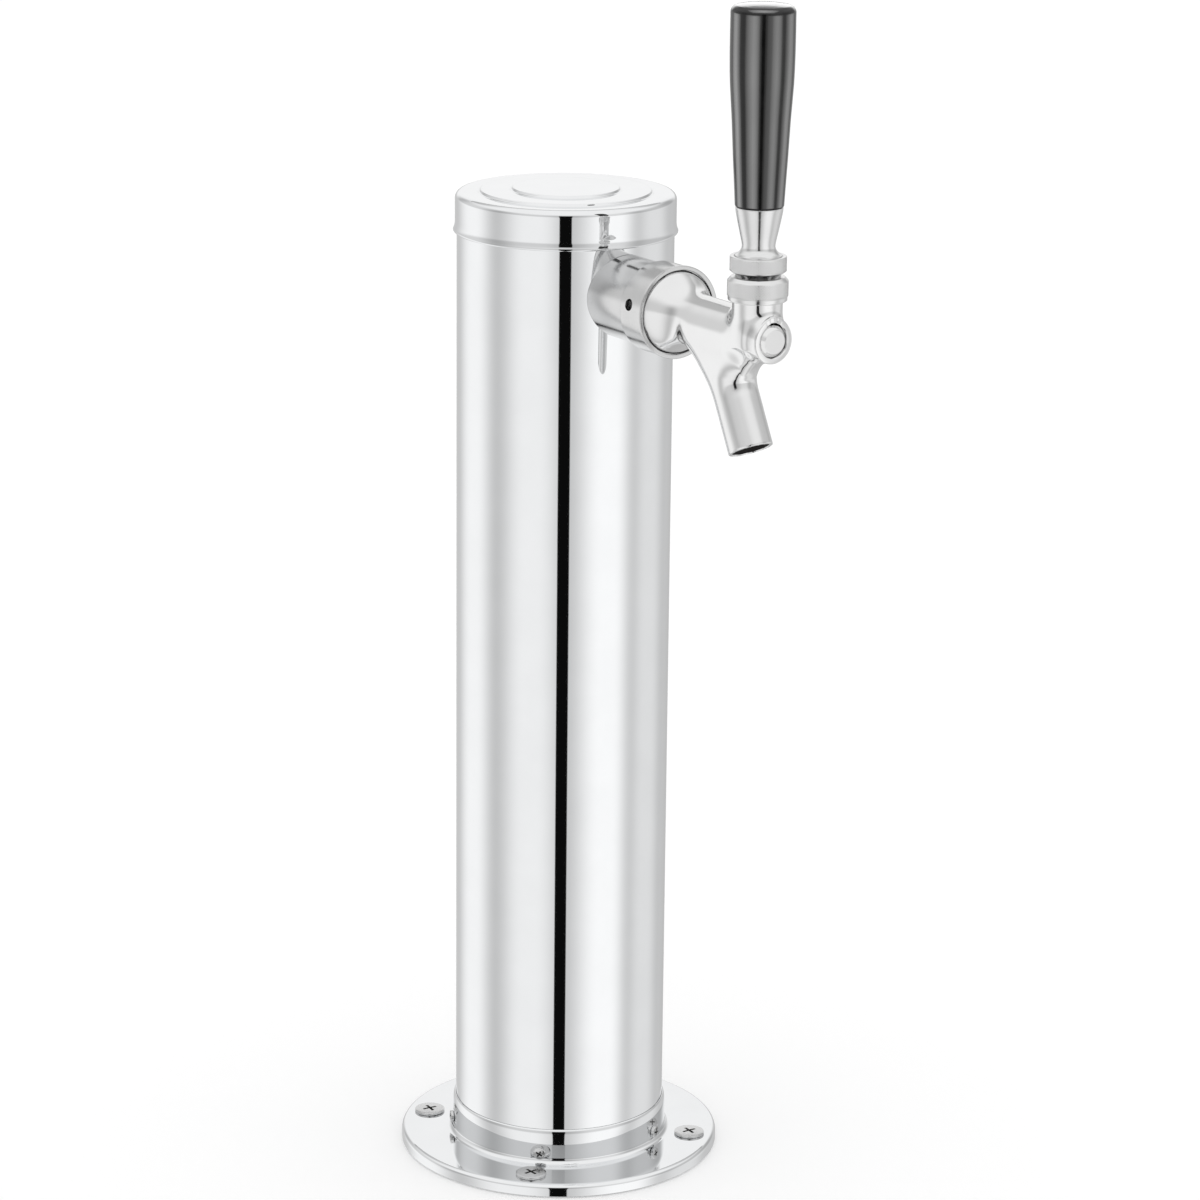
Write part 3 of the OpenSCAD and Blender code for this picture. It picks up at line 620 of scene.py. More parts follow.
@dataclass(frozen=True)
class Metal:
    """A bare or plated metal: its tint, its gloss and the fine marks that its making leaves.

    The marks are drawn larger than the real ones, which are too fine to show at this size.
    """

    name: str
    light: str
    dark: str
    rough: Pair
    mark_mm: float
    mark_depth: float
    metallic: float = 1.0
    detail: float = 2.0
    relief_mm: float = 0.02
    cloud_mm: float = 14.0

    def make(self) -> bpy.types.Material:
        """Build the material.

        Returns:
            A material whose tint and gloss drift a little, with its marks in the bump.
        """
        paint = bpy.data.materials.new(self.name)
        paint.use_nodes = True
        tree = paint.node_tree
        tree.nodes.clear()
        place = add_node(tree, "ShaderNodeTexCoord").outputs["Object"]
        grain = {"Vector": place, "Scale": 1 / (self.mark_mm * MM), "Detail": self.detail}
        marks = add_node(tree, "ShaderNodeTexNoise", grain).outputs["Fac"]
        cloud = marks
        if self.cloud_mm:
            drift = {"Vector": place, "Scale": 1 / (self.cloud_mm * MM), "Detail": 3.0}
            cloud = add_node(tree, "ShaderNodeTexNoise", drift).outputs["Fac"]
        tint = add_node(tree, "ShaderNodeValToRGB", {"Fac": cloud})
        stops = zip(tint.color_ramp.elements, (0.35, 0.65), (self.dark, self.light))
        for stop, position, colour in stops:
            stop.position, stop.color = position, linear(colour)
        gloss = add_node(
            tree,
            "ShaderNodeMapRange",
            {
                "Value": marks,
                "From Min": 0.3,
                "From Max": 0.7,
                "To Min": self.rough[0],
                "To Max": self.rough[1],
            },
        )
        bump = add_node(
            tree,
            "ShaderNodeBump",
            {"Height": marks, "Strength": self.mark_depth, "Distance": self.relief_mm * MM},
        )
        shader = add_node(
            tree,
            "ShaderNodeBsdfPrincipled",
            {
                "Base Color": tint.outputs["Color"],
                "Metallic": self.metallic,
                "Roughness": gloss.outputs[0],
                "Normal": bump.outputs[0],
            },
        )
        add_node(tree, "ShaderNodeOutputMaterial", {"Surface": shader.outputs[0]})
        return paint


@dataclass(frozen=True)
class Moulded(Metal):
    """A plastic, rubber or foam of the usual IOR, 1.5, whose skin's grain also clouds its colour."""

    metallic: float = 0.0
    detail: float = 4.0
    relief_mm: float = 0.05
    cloud_mm: float = 0.0


class Slot(Enum):
    """The record's material slots."""

    POLISHED = "polished_steel"
    SATIN = "satin_steel"
    SCREW = "screw_steel"
    CHROME = "faucet_chrome"
    BRASS = "brass"
    RUBBER = "rubber"
    NYLON = "seat_nylon"
    FOAM = "insulation_foam"
    GRIP = "grip_black"


@dataclass(frozen=True)
class Finishes:
    """Every finish of the tower, by the slot that it belongs to."""

    paints: dict[Slot, bpy.types.Material]
    # Painted shade, near black, for the inside of the spout's and the boss's bores
    bore_painted_shade: bpy.types.Material
    soft_chrome: bpy.types.Material
    # Painted shade, grey, for the hollow of the screws' crosses
    recess_painted_shade: bpy.types.Material

    @classmethod
    def make_all(cls) -> "Finishes":
        """Build each finish once.

        Returns:
            The set of finishes.
        """
        usual = {
            # Buffed flange, tube and cap: a true mirror that shows the studio's panels without grain
            Slot.POLISHED: Metal(
                "mirror_buffed_stainless", "#EDEEEF", "#EBECED", (0.03, 0.04), 0.6, 0.0
            ),
            # Turned nuts and collar: the same panels, softened to a silky glow
            Slot.SATIN: Metal("satin_turned_stainless", "#DADADA", "#D2D2D2", (0.13, 0.2), 0.5, 0.04),
            # Cold headed screws: a little darker and duller than the flange that they sit on
            Slot.SCREW: Metal("headed_stainless", "#D8D8D8", "#CCCCCC", (0.14, 0.24), 0.4, 0.05),
            # Plated casting: bright, its reflections just soft enough to show the curves
            Slot.CHROME: Metal("bright_chrome_plate", "#EAEAEA", "#E7E7E7", (0.09, 0.11), 0.6, 0.0),
            # Turned stud and nut: warm yellow with faint tool marks
            Slot.BRASS: Metal("turned_brass", "#DDBB78", "#D2AE68", (0.2, 0.32), 0.3, 0.1),
            # Moulded rings: nearly black, dull and finely pebbled
            Slot.RUBBER: Moulded("black_nitrile_rubber", "#2B2B2B", "#1F1F1F", (0.6, 0.75), 0.4, 0.4),
            # Machined ball seats: off white and waxy
            Slot.NYLON: Moulded("natural_nylon", "#EDEADF", "#E2DDCB", (0.35, 0.5), 0.8, 0.1),
            # Cut insulation: straw yellow and chalky, with open cells
            Slot.FOAM: Moulded("rigid_cut_foam", "#F0DDA6", "#DCC382", (0.85, 1.0), 0.9, 1.0),
            # Moulded grip: deep black, whose gloss turns the lamps into soft grey stripes
            Slot.GRIP: Moulded("glossy_black_phenolic", "#0B0B0B", "#070707", (0.11, 0.14), 6.0, 0.0),
        }
        own = (
            # Bore of the spout and the boss: dull where the plating doesn't reach, and painted near
            # black as painted shade for the dark inside the bores
            Metal("unplated_bore_painted_shade", "#3A3937", "#2B2A29", (0.45, 0.6), 0.8, 0.2),
            # Knurled rings and ferrule: plate over turned steps, softer to the eye than the casting
            Metal("soft_chrome_plate", "#E4E4E4", "#DEDEDE", (0.13, 0.19), 0.5, 0.03),
            # Crosses of the screws: grey and dull beside the heads, a painted shade for the hollow of
            # each cross
            Metal("screw_recess_painted_shade", "#858483", "#6E6D6C", (0.35, 0.5), 0.4, 0.2),
        )
        return cls(
            {slot: finish.make() for slot, finish in usual.items()}, *[finish.make() for finish in own]
        )

    def dress_nodes(self) -> None:
        """Give each CAD node its slot's finish, which shows where the node stays."""
        slots = {part["node"]: Slot(part["material_slot"]) for part in frame["record"]["subparts"]}
        for name, node in frame["nodes"].items():
            node.data.materials.clear()
            node.data.materials.append(self.paints[slots[name]])

    def dress(
        self,
        piece: bpy.types.Object,
        slot: Slot,
        body: str,
        node: str,
        paint: bpy.types.Material | None = None,
    ) -> bpy.types.Object:
        """Give a piece its finish, its body and the node that it stands for.

        Args:
            piece: the finished piece.
            slot: its finish.
            body: the body that it rides on.
            node: the CAD node that it stands for.
            paint: a finish of its own, where it isn't the slot's usual one.

        Returns:
            The same piece.
        """
        piece.data.materials.clear()
        piece.data.materials.append(paint or self.paints[slot])
        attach(piece, body)
        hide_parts(node)
        return piece

    def paint_shade_into(self, piece: bpy.types.Object, faces: list[int], paint: bpy.types.Material) -> None:
        """Give the faces inside a bore or a recess a darker, duller finish: painted shade for the
        hollow.

        Args:
            piece: the dressed piece.
            faces: the numbers of those faces.
            paint: their finish.
        """
        piece.data.materials.append(paint)
        for index in faces:
            piece.data.polygons[index].material_index = 1


def blend(a: np.ndarray, b: np.ndarray, size: float) -> np.ndarray:
    """Join two forms, given as distances to them, by a fillet of about the given size."""
    near = np.clip(size - np.abs(a - b), 0, None) / size
    return np.minimum(a, b) - near * near * size / 4


@dataclass(frozen=True)
class Cap:
    """The pressed cap: a skirt with a rolled hem, a rounded edge and two raised rings."""

    foot_z: float = 340.5
    rim_z: float = 354.4
    inner_r: float = 38.18
    skirt_r: float = 38.73
    bead: float = 0.65
    hem_r: float = 0.6
    flare_h: float = 3.4
    edge_r: float = 2.4
    sheet: float = 0.55
    step_h: float = 0.8
    step_w: float = 0.6
    ring_rs: Pair = (29.9, 18.75)
    groove_w: float = 0.7
    groove_h: float = 0.15

    def step(self, r: float, low: float) -> list[Pair]:
        """Draw one raised ring: a fine groove, then its riser as a soft double curve.

        Args:
            r: the riser's middle radius.
            low: the height of the sheet outside it.

        Returns:
            The outline's points, inwards.
        """
        shares = [i / 8 for i in range(9)]
        foot = r + self.step_w / 2
        groove = [
            (foot + self.groove_w * (1 - t), low - self.groove_h * math.sin(math.pi * t) ** 2)
            for t in shares[:-1]
        ]
        return groove + [
            (foot - self.step_w * t, low + self.step_h * t * t * (3 - 2 * t)) for t in shares
        ]

    def build(self, finishes: Finishes) -> list[bpy.types.Object]:
        """Press the cap.

        Args:
            finishes: the tower's finishes.

        Returns:
            The cap.
        """
        flare = [
            (
                self.skirt_r + self.bead * (1 - i / 8) ** 2.5,
                self.foot_z + self.hem_r + self.flare_h * i / 8,
            )
            for i in range(1, 9)
        ]
        hem, edge = self.skirt_r + self.bead - self.hem_r, self.skirt_r - self.edge_r
        outline = (
            [(self.inner_r, self.foot_z + 0.2)]
            + arc(hem, self.foot_z + self.hem_r, self.hem_r, -90, 0, 8)
            + flare
            + arc(edge, self.rim_z - self.edge_r, self.edge_r, 0, 90, 12)
            + self.step(self.ring_rs[0], self.rim_z)
            + self.step(self.ring_rs[1], self.rim_z + self.step_h)
        )
        top = self.rim_z + 2 * self.step_h
        outline += [(6, top), (0, top), (0, top - self.sheet), (self.ring_rs[1] - 1, top - self.sheet)]
        outline += [
            (self.ring_rs[1], top - self.step_h - self.sheet),
            (self.ring_rs[0] - 1, top - self.step_h - self.sheet),
            (self.ring_rs[0], self.rim_z - self.sheet),
        ]
        outline += arc(edge, self.rim_z - self.edge_r, self.edge_r - self.sheet, 90, 0, 8)
        outline.append(outline[0])
        cap = turned("pressed_cap", outline, 192)
        return [finishes.dress(cap, Slot.POLISHED, "cap", "top_cap")]


@dataclass(frozen=True)
class Column:
    """The polished tube."""

    radius: float = 38.1
    wall: float = 1.2
    foot_z: float = 2.0
    top_z: float = 352.75
    chamfer: float = 0.5

    def build(self, finishes: Finishes) -> list[bpy.types.Object]:
        """Draw the tube.

        Args:
            finishes: the tower's finishes.

        Returns:
            The tube.
        """
        inner = self.radius - self.wall
        outline = [
            (self.radius, self.foot_z),
            (self.radius, self.top_z - self.chamfer),
            (self.radius - self.chamfer, self.top_z),
            (inner, self.top_z),
            (inner, self.foot_z),
            (self.radius, self.foot_z),
        ]
        tube = turned("column", outline, 192)
        return [finishes.dress(tube, Slot.POLISHED, "tower", "column_tube")]


@dataclass(frozen=True)
class Base:
    """The spun flange with its neck, and the screws through both."""

    radius: float = 58.15
    thick: float = 4.6
    edge_r: float = 1.7
    neck_in_r: float = 38.2
    neck_r: float = 39.25
    neck_top_z: float = 17.6
    lip_h: float = 3.8
    fillet_r: float = 2.2
    hole_r: float = 34.0
    ledge: float = 2.0
    groove_in_r: float = 44.55
    groove_out_r: float = 56.55
    groove_h: float = 2.2
    bolt_r: float = 49.2
    bolt_turn: float = 45.0
    cross_turns: tuple[float, ...] = (45.0, 40.0, 50.0, 44.0)
    collar_count: int = 5
    collar_turn: float = 10.5
    collar_cross_step: float = 20.0
    collar_z: float = 8.8

    def build(self, finishes: Finishes) -> list[bpy.types.Object]:
        """Spin the flange and set its screws.

        Args:
            finishes: the tower's finishes.

        Returns:
            The flange and both sets of screws.
        """
        lip = [
            (
                self.neck_in_r + (self.neck_r - self.neck_in_r) * math.cos(math.radians(a)),
                self.neck_top_z - self.lip_h + self.lip_h * math.sin(math.radians(a)),
            )
            for a in range(0, 91, 6)
        ]
        outline = (
            [(self.hole_r, 0), (self.groove_in_r, 0), (self.groove_in_r, self.groove_h)]
            + [(self.groove_out_r, self.groove_h), (self.groove_out_r, 0)]
            + [(self.radius - 0.3, 0), (self.radius, 0.3)]
            + arc(self.radius - self.edge_r, self.thick - self.edge_r, self.edge_r, 0, 90, 10)
            + arc(self.neck_r + self.fillet_r, self.thick + self.fillet_r, self.fillet_r, 270, 180, 10)
            + lip
            + [(self.neck_in_r, self.ledge), (self.hole_r, self.ledge), (self.hole_r, 0)]
        )
        flange = turned("flange", outline, 192)
        finishes.dress(flange, Slot.POLISHED, "tower", "base_flange")
        return [flange, *self.set_flange_screws(finishes), *self.set_collar_screws(finishes)]

    def set_flange_screws(self, finishes: Finishes) -> list[bpy.types.Object]:
        """Head the flange screws and set one at each quarter.

        Args:
            finishes: the tower's finishes.

        Returns:
            The screws.
        """
        places = []
        for i, turn in enumerate(self.cross_turns):
            spin = Matrix.Rotation(math.radians(self.bolt_turn + 90 * i), 4, "Z")
            twist = Matrix.Rotation(math.radians(turn), 4, "Z")
            seat = Matrix.Translation(Vector((self.bolt_r, 0, self.thick)) * MM)
            places.append(spin @ seat @ twist)
        head = CrossScrew(
            "flange_screw",
            head_r=5.5,
            head_h=1.1,
            shank_r=2.4,
            length=26.6,
            wing_len=7.6,
            wing_w=1.45,
            wing_depth=1.0,
        )
        return head.build_set(finishes, places, "flange_screws")

    def set_collar_screws(self, finishes: Finishes) -> list[bpy.types.Object]:
        """Head the collar screws and set them at even steps round the neck.

        Args:
            finishes: the tower's finishes.

        Returns:
            The screws.
        """
        places = []
        for i in range(self.collar_count):
            turn = self.collar_turn + 360 / self.collar_count * i
            spin = Matrix.Rotation(math.radians(turn), 4, "Z")
            lay = Matrix.Rotation(math.radians(90), 4, "Y")
            twist = Matrix.Rotation(math.radians(self.collar_cross_step * i), 4, "Z")
            seat = Matrix.Translation(Vector((self.neck_r, 0, self.collar_z)) * MM)
            places.append(spin @ seat @ (lay @ twist))
        head = CrossScrew(
            "collar_screw",
            head_r=2.25,
            head_h=1.4,
            shank_r=1.6,
            length=5.25,
            wing_len=3.6,
            wing_w=0.85,
            wing_depth=0.9,
        )
        return head.build_set(finishes, places, "collar_screws")


@dataclass(frozen=True)
class CrossScrew:
    """A headed screw with a low dome and a cross recess."""

    name: str
    head_r: float
    head_h: float
    shank_r: float
    length: float
    wing_len: float
    wing_w: float
    wing_depth: float
    wing_taper: float = 0.45
    dome_share: float = 0.16

    def build(self) -> bpy.types.Object:
        """Head the screw along Z, with its head's underside at zero.

        Returns:
            The first screw of the set, about the origin.
        """
        dome = self.dome_share * self.head_h
        bulge = (self.head_r**2 + dome**2) / (2 * dome)
        top = [
            (
                self.head_r * share,
                self.head_h - bulge + math.sqrt(bulge**2 - (self.head_r * share) ** 2),
            )
            for share in (0.93, 0.86, 0.8, 0.7, 0.6, 0.5, 0.4, 0.3, 0.2, 0.1, 0)
        ]
        foot = -self.length
        outline = (
            [(0, foot), (self.shank_r * 0.3, foot + 0.8), (self.shank_r, foot + 3), (self.shank_r, 0)]
            + [(self.head_r - 0.35, 0), (self.head_r - 0.04, 0.2), (self.head_r, 0.3)]
            + [(self.head_r - 0.03, self.head_h - dome - 0.12)]
            + top
        )
        screw = turned(f"{self.name}_1", outline, 72)
        for turn in (0, 90):
            wing = block(
                (0, 0, self.head_h), (self.wing_len, self.wing_w, 2 * self.wing_depth), turn
            )
            for vertex in wing.data.vertices:
                if vertex.co.z < self.head_h * MM:
                    vertex.co.x *= self.wing_taper
                    vertex.co.y *= self.wing_taper
            cut(screw, wing)
        reshade(screw, 28)
        return screw

    def recess(self, screw: bpy.types.Object) -> list[int]:
        """Find the cross's faces, all steeper or deeper than the dome round them.

        Args:
            screw: the screw about the origin.

        Returns:
            The numbers of those faces.
        """
        found = []
        for face in screw.data.polygons:
            x, y, z = (c / MM for c in face.center)
            if z > 0.02 and math.hypot(x, y) < self.wing_len / 2 + 0.05:
                if face.normal.z < 0.9 or z < self.head_h - 0.6 * self.wing_depth:
                    found.append(face.index)
        return found

    def build_set(self, finishes: Finishes, places: list[Matrix], node: str) -> list[bpy.types.Object]:
        """Copy the screw to its places and darken each cross with painted shade.

        Args:
            finishes: the tower's finishes.
            places: where each screw's own frame goes.
            node: the CAD node that the set stands for.

        Returns:
            The screws.
        """
        screw = self.build()
        cross = self.recess(screw)
        made = [screw, *copies(screw, self.name, len(places) - 1)]
        for piece, place in zip(made, places):
            settle(piece, place)
            finishes.dress(piece, Slot.SCREW, "tower", node)
            # Each cross is darkened with painted shade for its hollow
            finishes.paint_shade_into(piece, cross, finishes.recess_painted_shade)
        return made


@dataclass(frozen=True)
class Shank:
    """What shows of the shank: the plain collar and the coupling nut with its spanner holes."""

    column_r: float = 38.15
    collar_back_s: float = 30.0
    collar_r: float = 14.45
    bore_r: float = 11.2
    nut_s: float = 57.0
    nut_len: float = 12.5
    nut_r: float = 15.7
    rim_r: float = 16.0
    rim_w: float = 0.9
    thread_r: float = 14.35
    mouth_r: float = 14.5
    lip: float = 1.5
    edge: float = 0.45
    hole_r: float = 2.05
    hole_s: float = 62.0
    hole_depth: float = 1.5
    hole_turns: tuple[float, ...] = (169.0, 289.0, 49.0)

    def build(self, finishes: Finishes) -> list[bpy.types.Object]:
        """Make the collar, then the nut in front of it."""
        return [self.build_collar(finishes), self.build_nut(finishes)]

    def build_collar(self, finishes: Finishes) -> bpy.types.Object:
        """Turn the collar and saddle its rear end to the column.

        Args:
            finishes: the tower's finishes.

        Returns:
            The collar.
        """
        back, front = self.collar_back_s, self.nut_s - 0.02
        outline = (
            [(self.bore_r, back), (self.collar_r - 0.2, back), (self.collar_r, back + 0.2)]
            + [(self.collar_r, 40.0), (self.collar_r, 44.0)]
            + [(self.collar_r, self.nut_s - 0.35), (self.collar_r - 0.3, front)]
            + [(self.bore_r, front), (self.bore_r, back)]
        )
        collar = turned("shank_saddle_collar", outline, 160)
        for vertex in collar.data.vertices:
            if vertex.co.z < (back + 0.5) * MM:
                seat = math.sqrt(self.column_r**2 - (vertex.co.x / MM) ** 2)
                vertex.co.z += (seat - back) * MM
        settle(collar, ON_TAP)
        return finishes.dress(collar, Slot.SATIN, "tower", "shank_collar")

    def build_nut(self, finishes: Finishes) -> bpy.types.Object:
        """Turn the coupling nut and drill its spanner holes.

        Args:
            finishes: the tower's finishes.

        Returns:
            The nut.
        """
        end = self.nut_s + self.nut_len
        inner_end = end - 2 * self.rim_w
        outline = (
            [(self.bore_r, self.nut_s)]
            + arc(self.nut_r - self.edge, self.nut_s + self.edge, self.edge, -90, 0, 6)
            + rows(self.nut_r, self.nut_s + 0.6, end - self.rim_w - 0.6, 0.9)
            + [(self.nut_r, end - self.rim_w - 0.15), (self.rim_r, end - self.rim_w + 0.1)]
            + arc(self.rim_r - 0.35, end - 0.35, 0.35, 0, 90, 5)
            + [(self.mouth_r + 0.25, end), (self.mouth_r, end - 0.25)]
            + [(self.mouth_r, inner_end), (self.thread_r, inner_end)]
            + [(self.thread_r, self.nut_s + self.lip), (self.bore_r, self.nut_s + self.lip)]
            + [(self.bore_r, self.nut_s)]
        )
        nut = turned("coupling_nut_body", outline, 180)
        for degrees in self.hole_turns:
            turn = math.radians(degrees)
            spot = Vector((math.cos(turn), math.sin(turn), 0)) * self.nut_r * MM
            bpy.ops.object.select_all(action="DESELECT")
            bpy.ops.mesh.primitive_cylinder_add(
                vertices=32,
                radius=self.hole_r * MM,
                depth=2 * self.hole_depth * MM,
                location=spot + Vector((0, 0, self.hole_s * MM)),
                rotation=(0, math.radians(90), turn),
            )
            drill = bpy.context.active_object
            bpy.ops.object.transform_apply(location=True, rotation=True, scale=True)
            cut(nut, drill)
        reshade(nut, 25)
        settle(nut, ON_TAP)
        return finishes.dress(nut, Slot.SATIN, "tower", "coupling_nut")


@dataclass(frozen=True)
class Faucet:
    """The plated faucet body, its valve shaft and the bonnet."""

    rear_s: float = 62.2
    bell_s: float = 66.5
    bell_r: float = 14.25
    bell_rise: float = 6.275
    bell_fall: float = 7.93
    barrel_r: float = 8.4
    boss_from_s: float = 117.6
    boss_taper: float = 2.2
    boss_r: float = 7.55
    boss_s: float = 123.7
    recess_r: float = 5.54
    neck_r: float = 8.33
    neck_top_z: float = 336.3
    bend: Pair = (103.4, 302.05)
    web_rear: tuple[Pair, ...] = (
        (87.7, 319.0),
        (91.8, 314.9),
        (96.0, 311.1),
        (99.6, 307.4),
        (102.4, 303.6),
    )
    web_front: tuple[Pair, ...] = (
        (103.0, 302.9),
        (102.0, 306.2),
        (102.0, 309.5),
        (103.6, 313.0),
        (106.3, 317.5),
    )
    web_dip: float = 0.8
    web_dip_w: float = 8.5
    spout_r: float = 7.6
    spout_bore_r: float = 6.4
    spout_len: float = 19.2
    spout_angle: float = 62.5
    neck_blend: float = 3.2
    web_blend: float = 6.0
    voxel: float = 0.42
    settle_turns: int = 24
    relax_turns: range = range(2, 20)
    longest_move: float = 0.6
    probe: float = 0.002
    bonnet_r: float = 10.1
    bonnet_foot_z: float = 336.0
    bonnet_top_z: float = 344.1
    bonnet_diamonds: int = 72
    bonnet_knurl: float = 0.24
    shaft_rear_s: float = 65.2
    shaft_front_s: float = 124.4
    guide_s: float = 107.6
    guide_r: float = 5.45
    pocket_s: float = 115.6

    def build(self, finishes: Finishes) -> list[bpy.types.Object]:
        """Make the body, the bonnet and the shaft, in that order."""
        return [self.build_body(finishes), self.build_bonnet(finishes), self.build_shaft(finishes)]

    def distance(self, p: np.ndarray) -> np.ndarray:
        """Measure how far points are outside the body's blended skin.

        Args:
            p: points as rows of x, distance forward and height, in mm.

        Returns:
            Distances in mm, negative inside.
        """
        x, s, z = p[:, 0], p[:, 1], p[:, 2]
        up = z - TAP_Z
        past = np.clip(s - self.bell_s, 0, None) / self.bell_fall
        flare = self.bell_rise * np.exp(-(past**2))
        slope = -2 * flare * past / self.bell_fall
        step = np.clip((s - self.boss_from_s) / self.boss_taper, 0, 1)
        wide = np.minimum(self.barrel_r + flare, self.bell_r)
        wide = wide - (self.barrel_r - self.boss_r) * step * step * (3 - 2 * step)
        barrel = (np.hypot(x, up) - wide) / np.sqrt(1 + slope**2)
        neck = np.maximum(np.hypot(x, s - LEVER_S) - self.neck_r, -up - 2)
        body = blend(barrel, neck, self.neck_blend)
        low = z < self.neck_top_z
        lower = np.full_like(body, 1e3)
        lower[low] = self.lower_distance(x[low], s[low], z[low])
        return blend(body, lower, self.web_blend)

    def mouth_line(self, reach: float) -> Pair:
        """Find the point of the spout's centre line that far below its bend."""
        lean = math.radians(self.spout_angle)
        return (self.bend[0] + reach * math.cos(lean), self.bend[1] - reach * math.sin(lean))

    def lower_distance(self, x: np.ndarray, s: np.ndarray, z: np.ndarray) -> np.ndarray:
        """Measure to the web and the spout, a round edged blade that narrows to the spout's tube.

        Args:
            x: how far each point is to the side.
            s: how far forward it is.
            z: its height.

        Returns:
            Distances in mm, negative inside.
        """
        join = self.mouth_line(2.4)
        mouth = self.mouth_line(self.spout_len + 4)
        rear = [*flow([*self.web_rear, join], 8), mouth]
        front = [mouth, *flow([join, *self.web_front], 8)]
        to_rear, to_front = (self.line_distance(s, z, line) for line in (rear, front))
        ring = rear + front[1:]
        inside = np.zeros_like(s, bool)
        for (s0, z0), (s1, z1) in zip(ring, ring[1:] + ring[:1]):
            if z0 != z1:
                crosses = (z0 > z) != (z1 > z)
                inside ^= crosses & (s < s0 + (z - z0) * (s1 - s0) / (z1 - z0))
        top = self.line_distance(s, z, [ring[-1], ring[0]])
        outside = np.where(inside, 0, np.minimum(np.minimum(to_rear, to_front), top))
        shares = [np.clip(d / self.web_dip_w, 0, 1) for d in (to_rear, to_front, top)]
        dips = [share * share * (3 - 2 * share) for share in shares]
        thick = self.spout_r - np.where(inside, self.web_dip * dips[0] * dips[1] * dips[2], 0)
        return np.hypot(outside, x) - thick

    def line_distance(self, s: np.ndarray, z: np.ndarray, line: list[Pair]) -> np.ndarray:
        """Measure to a line of points in the faucet's middle plane.

        Args:
            s: how far forward each point is.
            z: its height.
            line: the line's points, forward and height.

        Returns:
            Distances in mm.
        """
        nearest = np.full_like(s, np.inf)
        for (s0, z0), (s1, z1) in zip(line, line[1:]):
            run = ((s - s0) * (s1 - s0) + (z - z0) * (z1 - z0)) / ((s1 - s0) ** 2 + (z1 - z0) ** 2)
            run = np.clip(run, 0, 1)
            gap = (s - s0 - run * (s1 - s0)) ** 2 + (z - z0 - run * (z1 - z0)) ** 2
            nearest = np.minimum(nearest, gap)
        return np.sqrt(nearest)

    def rough_form(self) -> bpy.types.Object:
        """Join plain solids into the body's rough form and give it one skin.

        Returns:
            The rough form, near enough to the blended skin for its points to settle there.
        """
        bpy.ops.object.select_all(action="DESELECT")
        parts = []
        # Start, end and radius of each, as side, forward and height
        tubes = [
            ((0, 60.0, TAP_Z), (0, 72.0, TAP_Z), self.bell_r),
            ((0, 66.0, TAP_Z), (0, 78.0, TAP_Z), 10.0),
            ((0, 66.0, TAP_Z), (0, 126.5, TAP_Z), self.boss_r + 0.4),
            ((0, LEVER_S, TAP_Z), (0, LEVER_S, self.neck_top_z + 2.5), self.neck_r),
            ((0, *self.web_rear[0]), (0, *self.bend), self.spout_r),
            ((0, 102.0, 321.0), (0, *self.bend), self.spout_r),
            ((0, 95.0, 320.0), (0, *self.bend), self.spout_r),
            ((0, *self.bend), (0, *self.mouth_line(self.spout_len + 3)), self.spout_r),
        ]
        for start, end, radius in tubes:
            low, high = (Vector((v[0], -v[1], v[2])) * MM for v in (start, end))
            bpy.ops.mesh.primitive_cylinder_add(
                vertices=48,
                radius=radius * MM,
                depth=(high - low).length,
                location=(low + high) / 2,
                rotation=(high - low).to_track_quat("Z", "Y").to_euler(),
            )
            parts.append(bpy.context.active_object)
        bpy.ops.object.select_all(action="DESELECT")
        for part in parts:
            part.select_set(True)
        bpy.context.view_layer.objects.active = parts[0]
        bpy.ops.object.join()
        body = bpy.context.active_object
        bpy.ops.object.transform_apply(location=True, rotation=True, scale=True)
        skin = body.modifiers.new("skin", "REMESH")
        skin.mode = "VOXEL"
        skin.voxel_size = self.voxel * MM
        bpy.ops.object.modifier_apply(modifier=skin.name)
        body.name = body.data.name = "faucet_casting"
        return body

    def draw_to_skin(self, body: bpy.types.Object) -> None:
        """Settle the rough form's points on the blended skin, evenly spread.

        Args:
            body: the rough form.
        """
        mesh = body.data
        to_forward = np.array([1, -1, 1])
        count = len(mesh.vertices)
        points = np.empty(count * 3)
        mesh.vertices.foreach_get("co", points)
        points = points.reshape(-1, 3) / MM * to_forward
        edges = np.empty(len(mesh.edges) * 2, np.int32)
        mesh.edges.foreach_get("vertices", edges)
        a, b = edges.reshape(-1, 2).T
        valence = np.bincount(np.concatenate([a, b]), minlength=count)[:, None]
        for turn in range(self.settle_turns):
            # Even the points out before they go back to the skin
            if turn in self.relax_turns:
                total = np.stack(
                    [
                        np.bincount(a, points[b, i], count) + np.bincount(b, points[a, i], count)
                        for i in range(3)
                    ],
                    axis=1,
                )
                points += 0.5 * (total / valence - points)
            value = self.distance(points)
            probes = self.probe * np.eye(3)
            slope = np.stack([self.distance(points + d) - value for d in probes], axis=1) / self.probe
            size = np.maximum((slope**2).sum(axis=1), 0.2)
            move = np.clip(value / size, -self.longest_move, self.longest_move)
            points -= move[:, None] * slope
        mesh.vertices.foreach_set("co", (points * to_forward * MM).ravel())
        mesh.update()

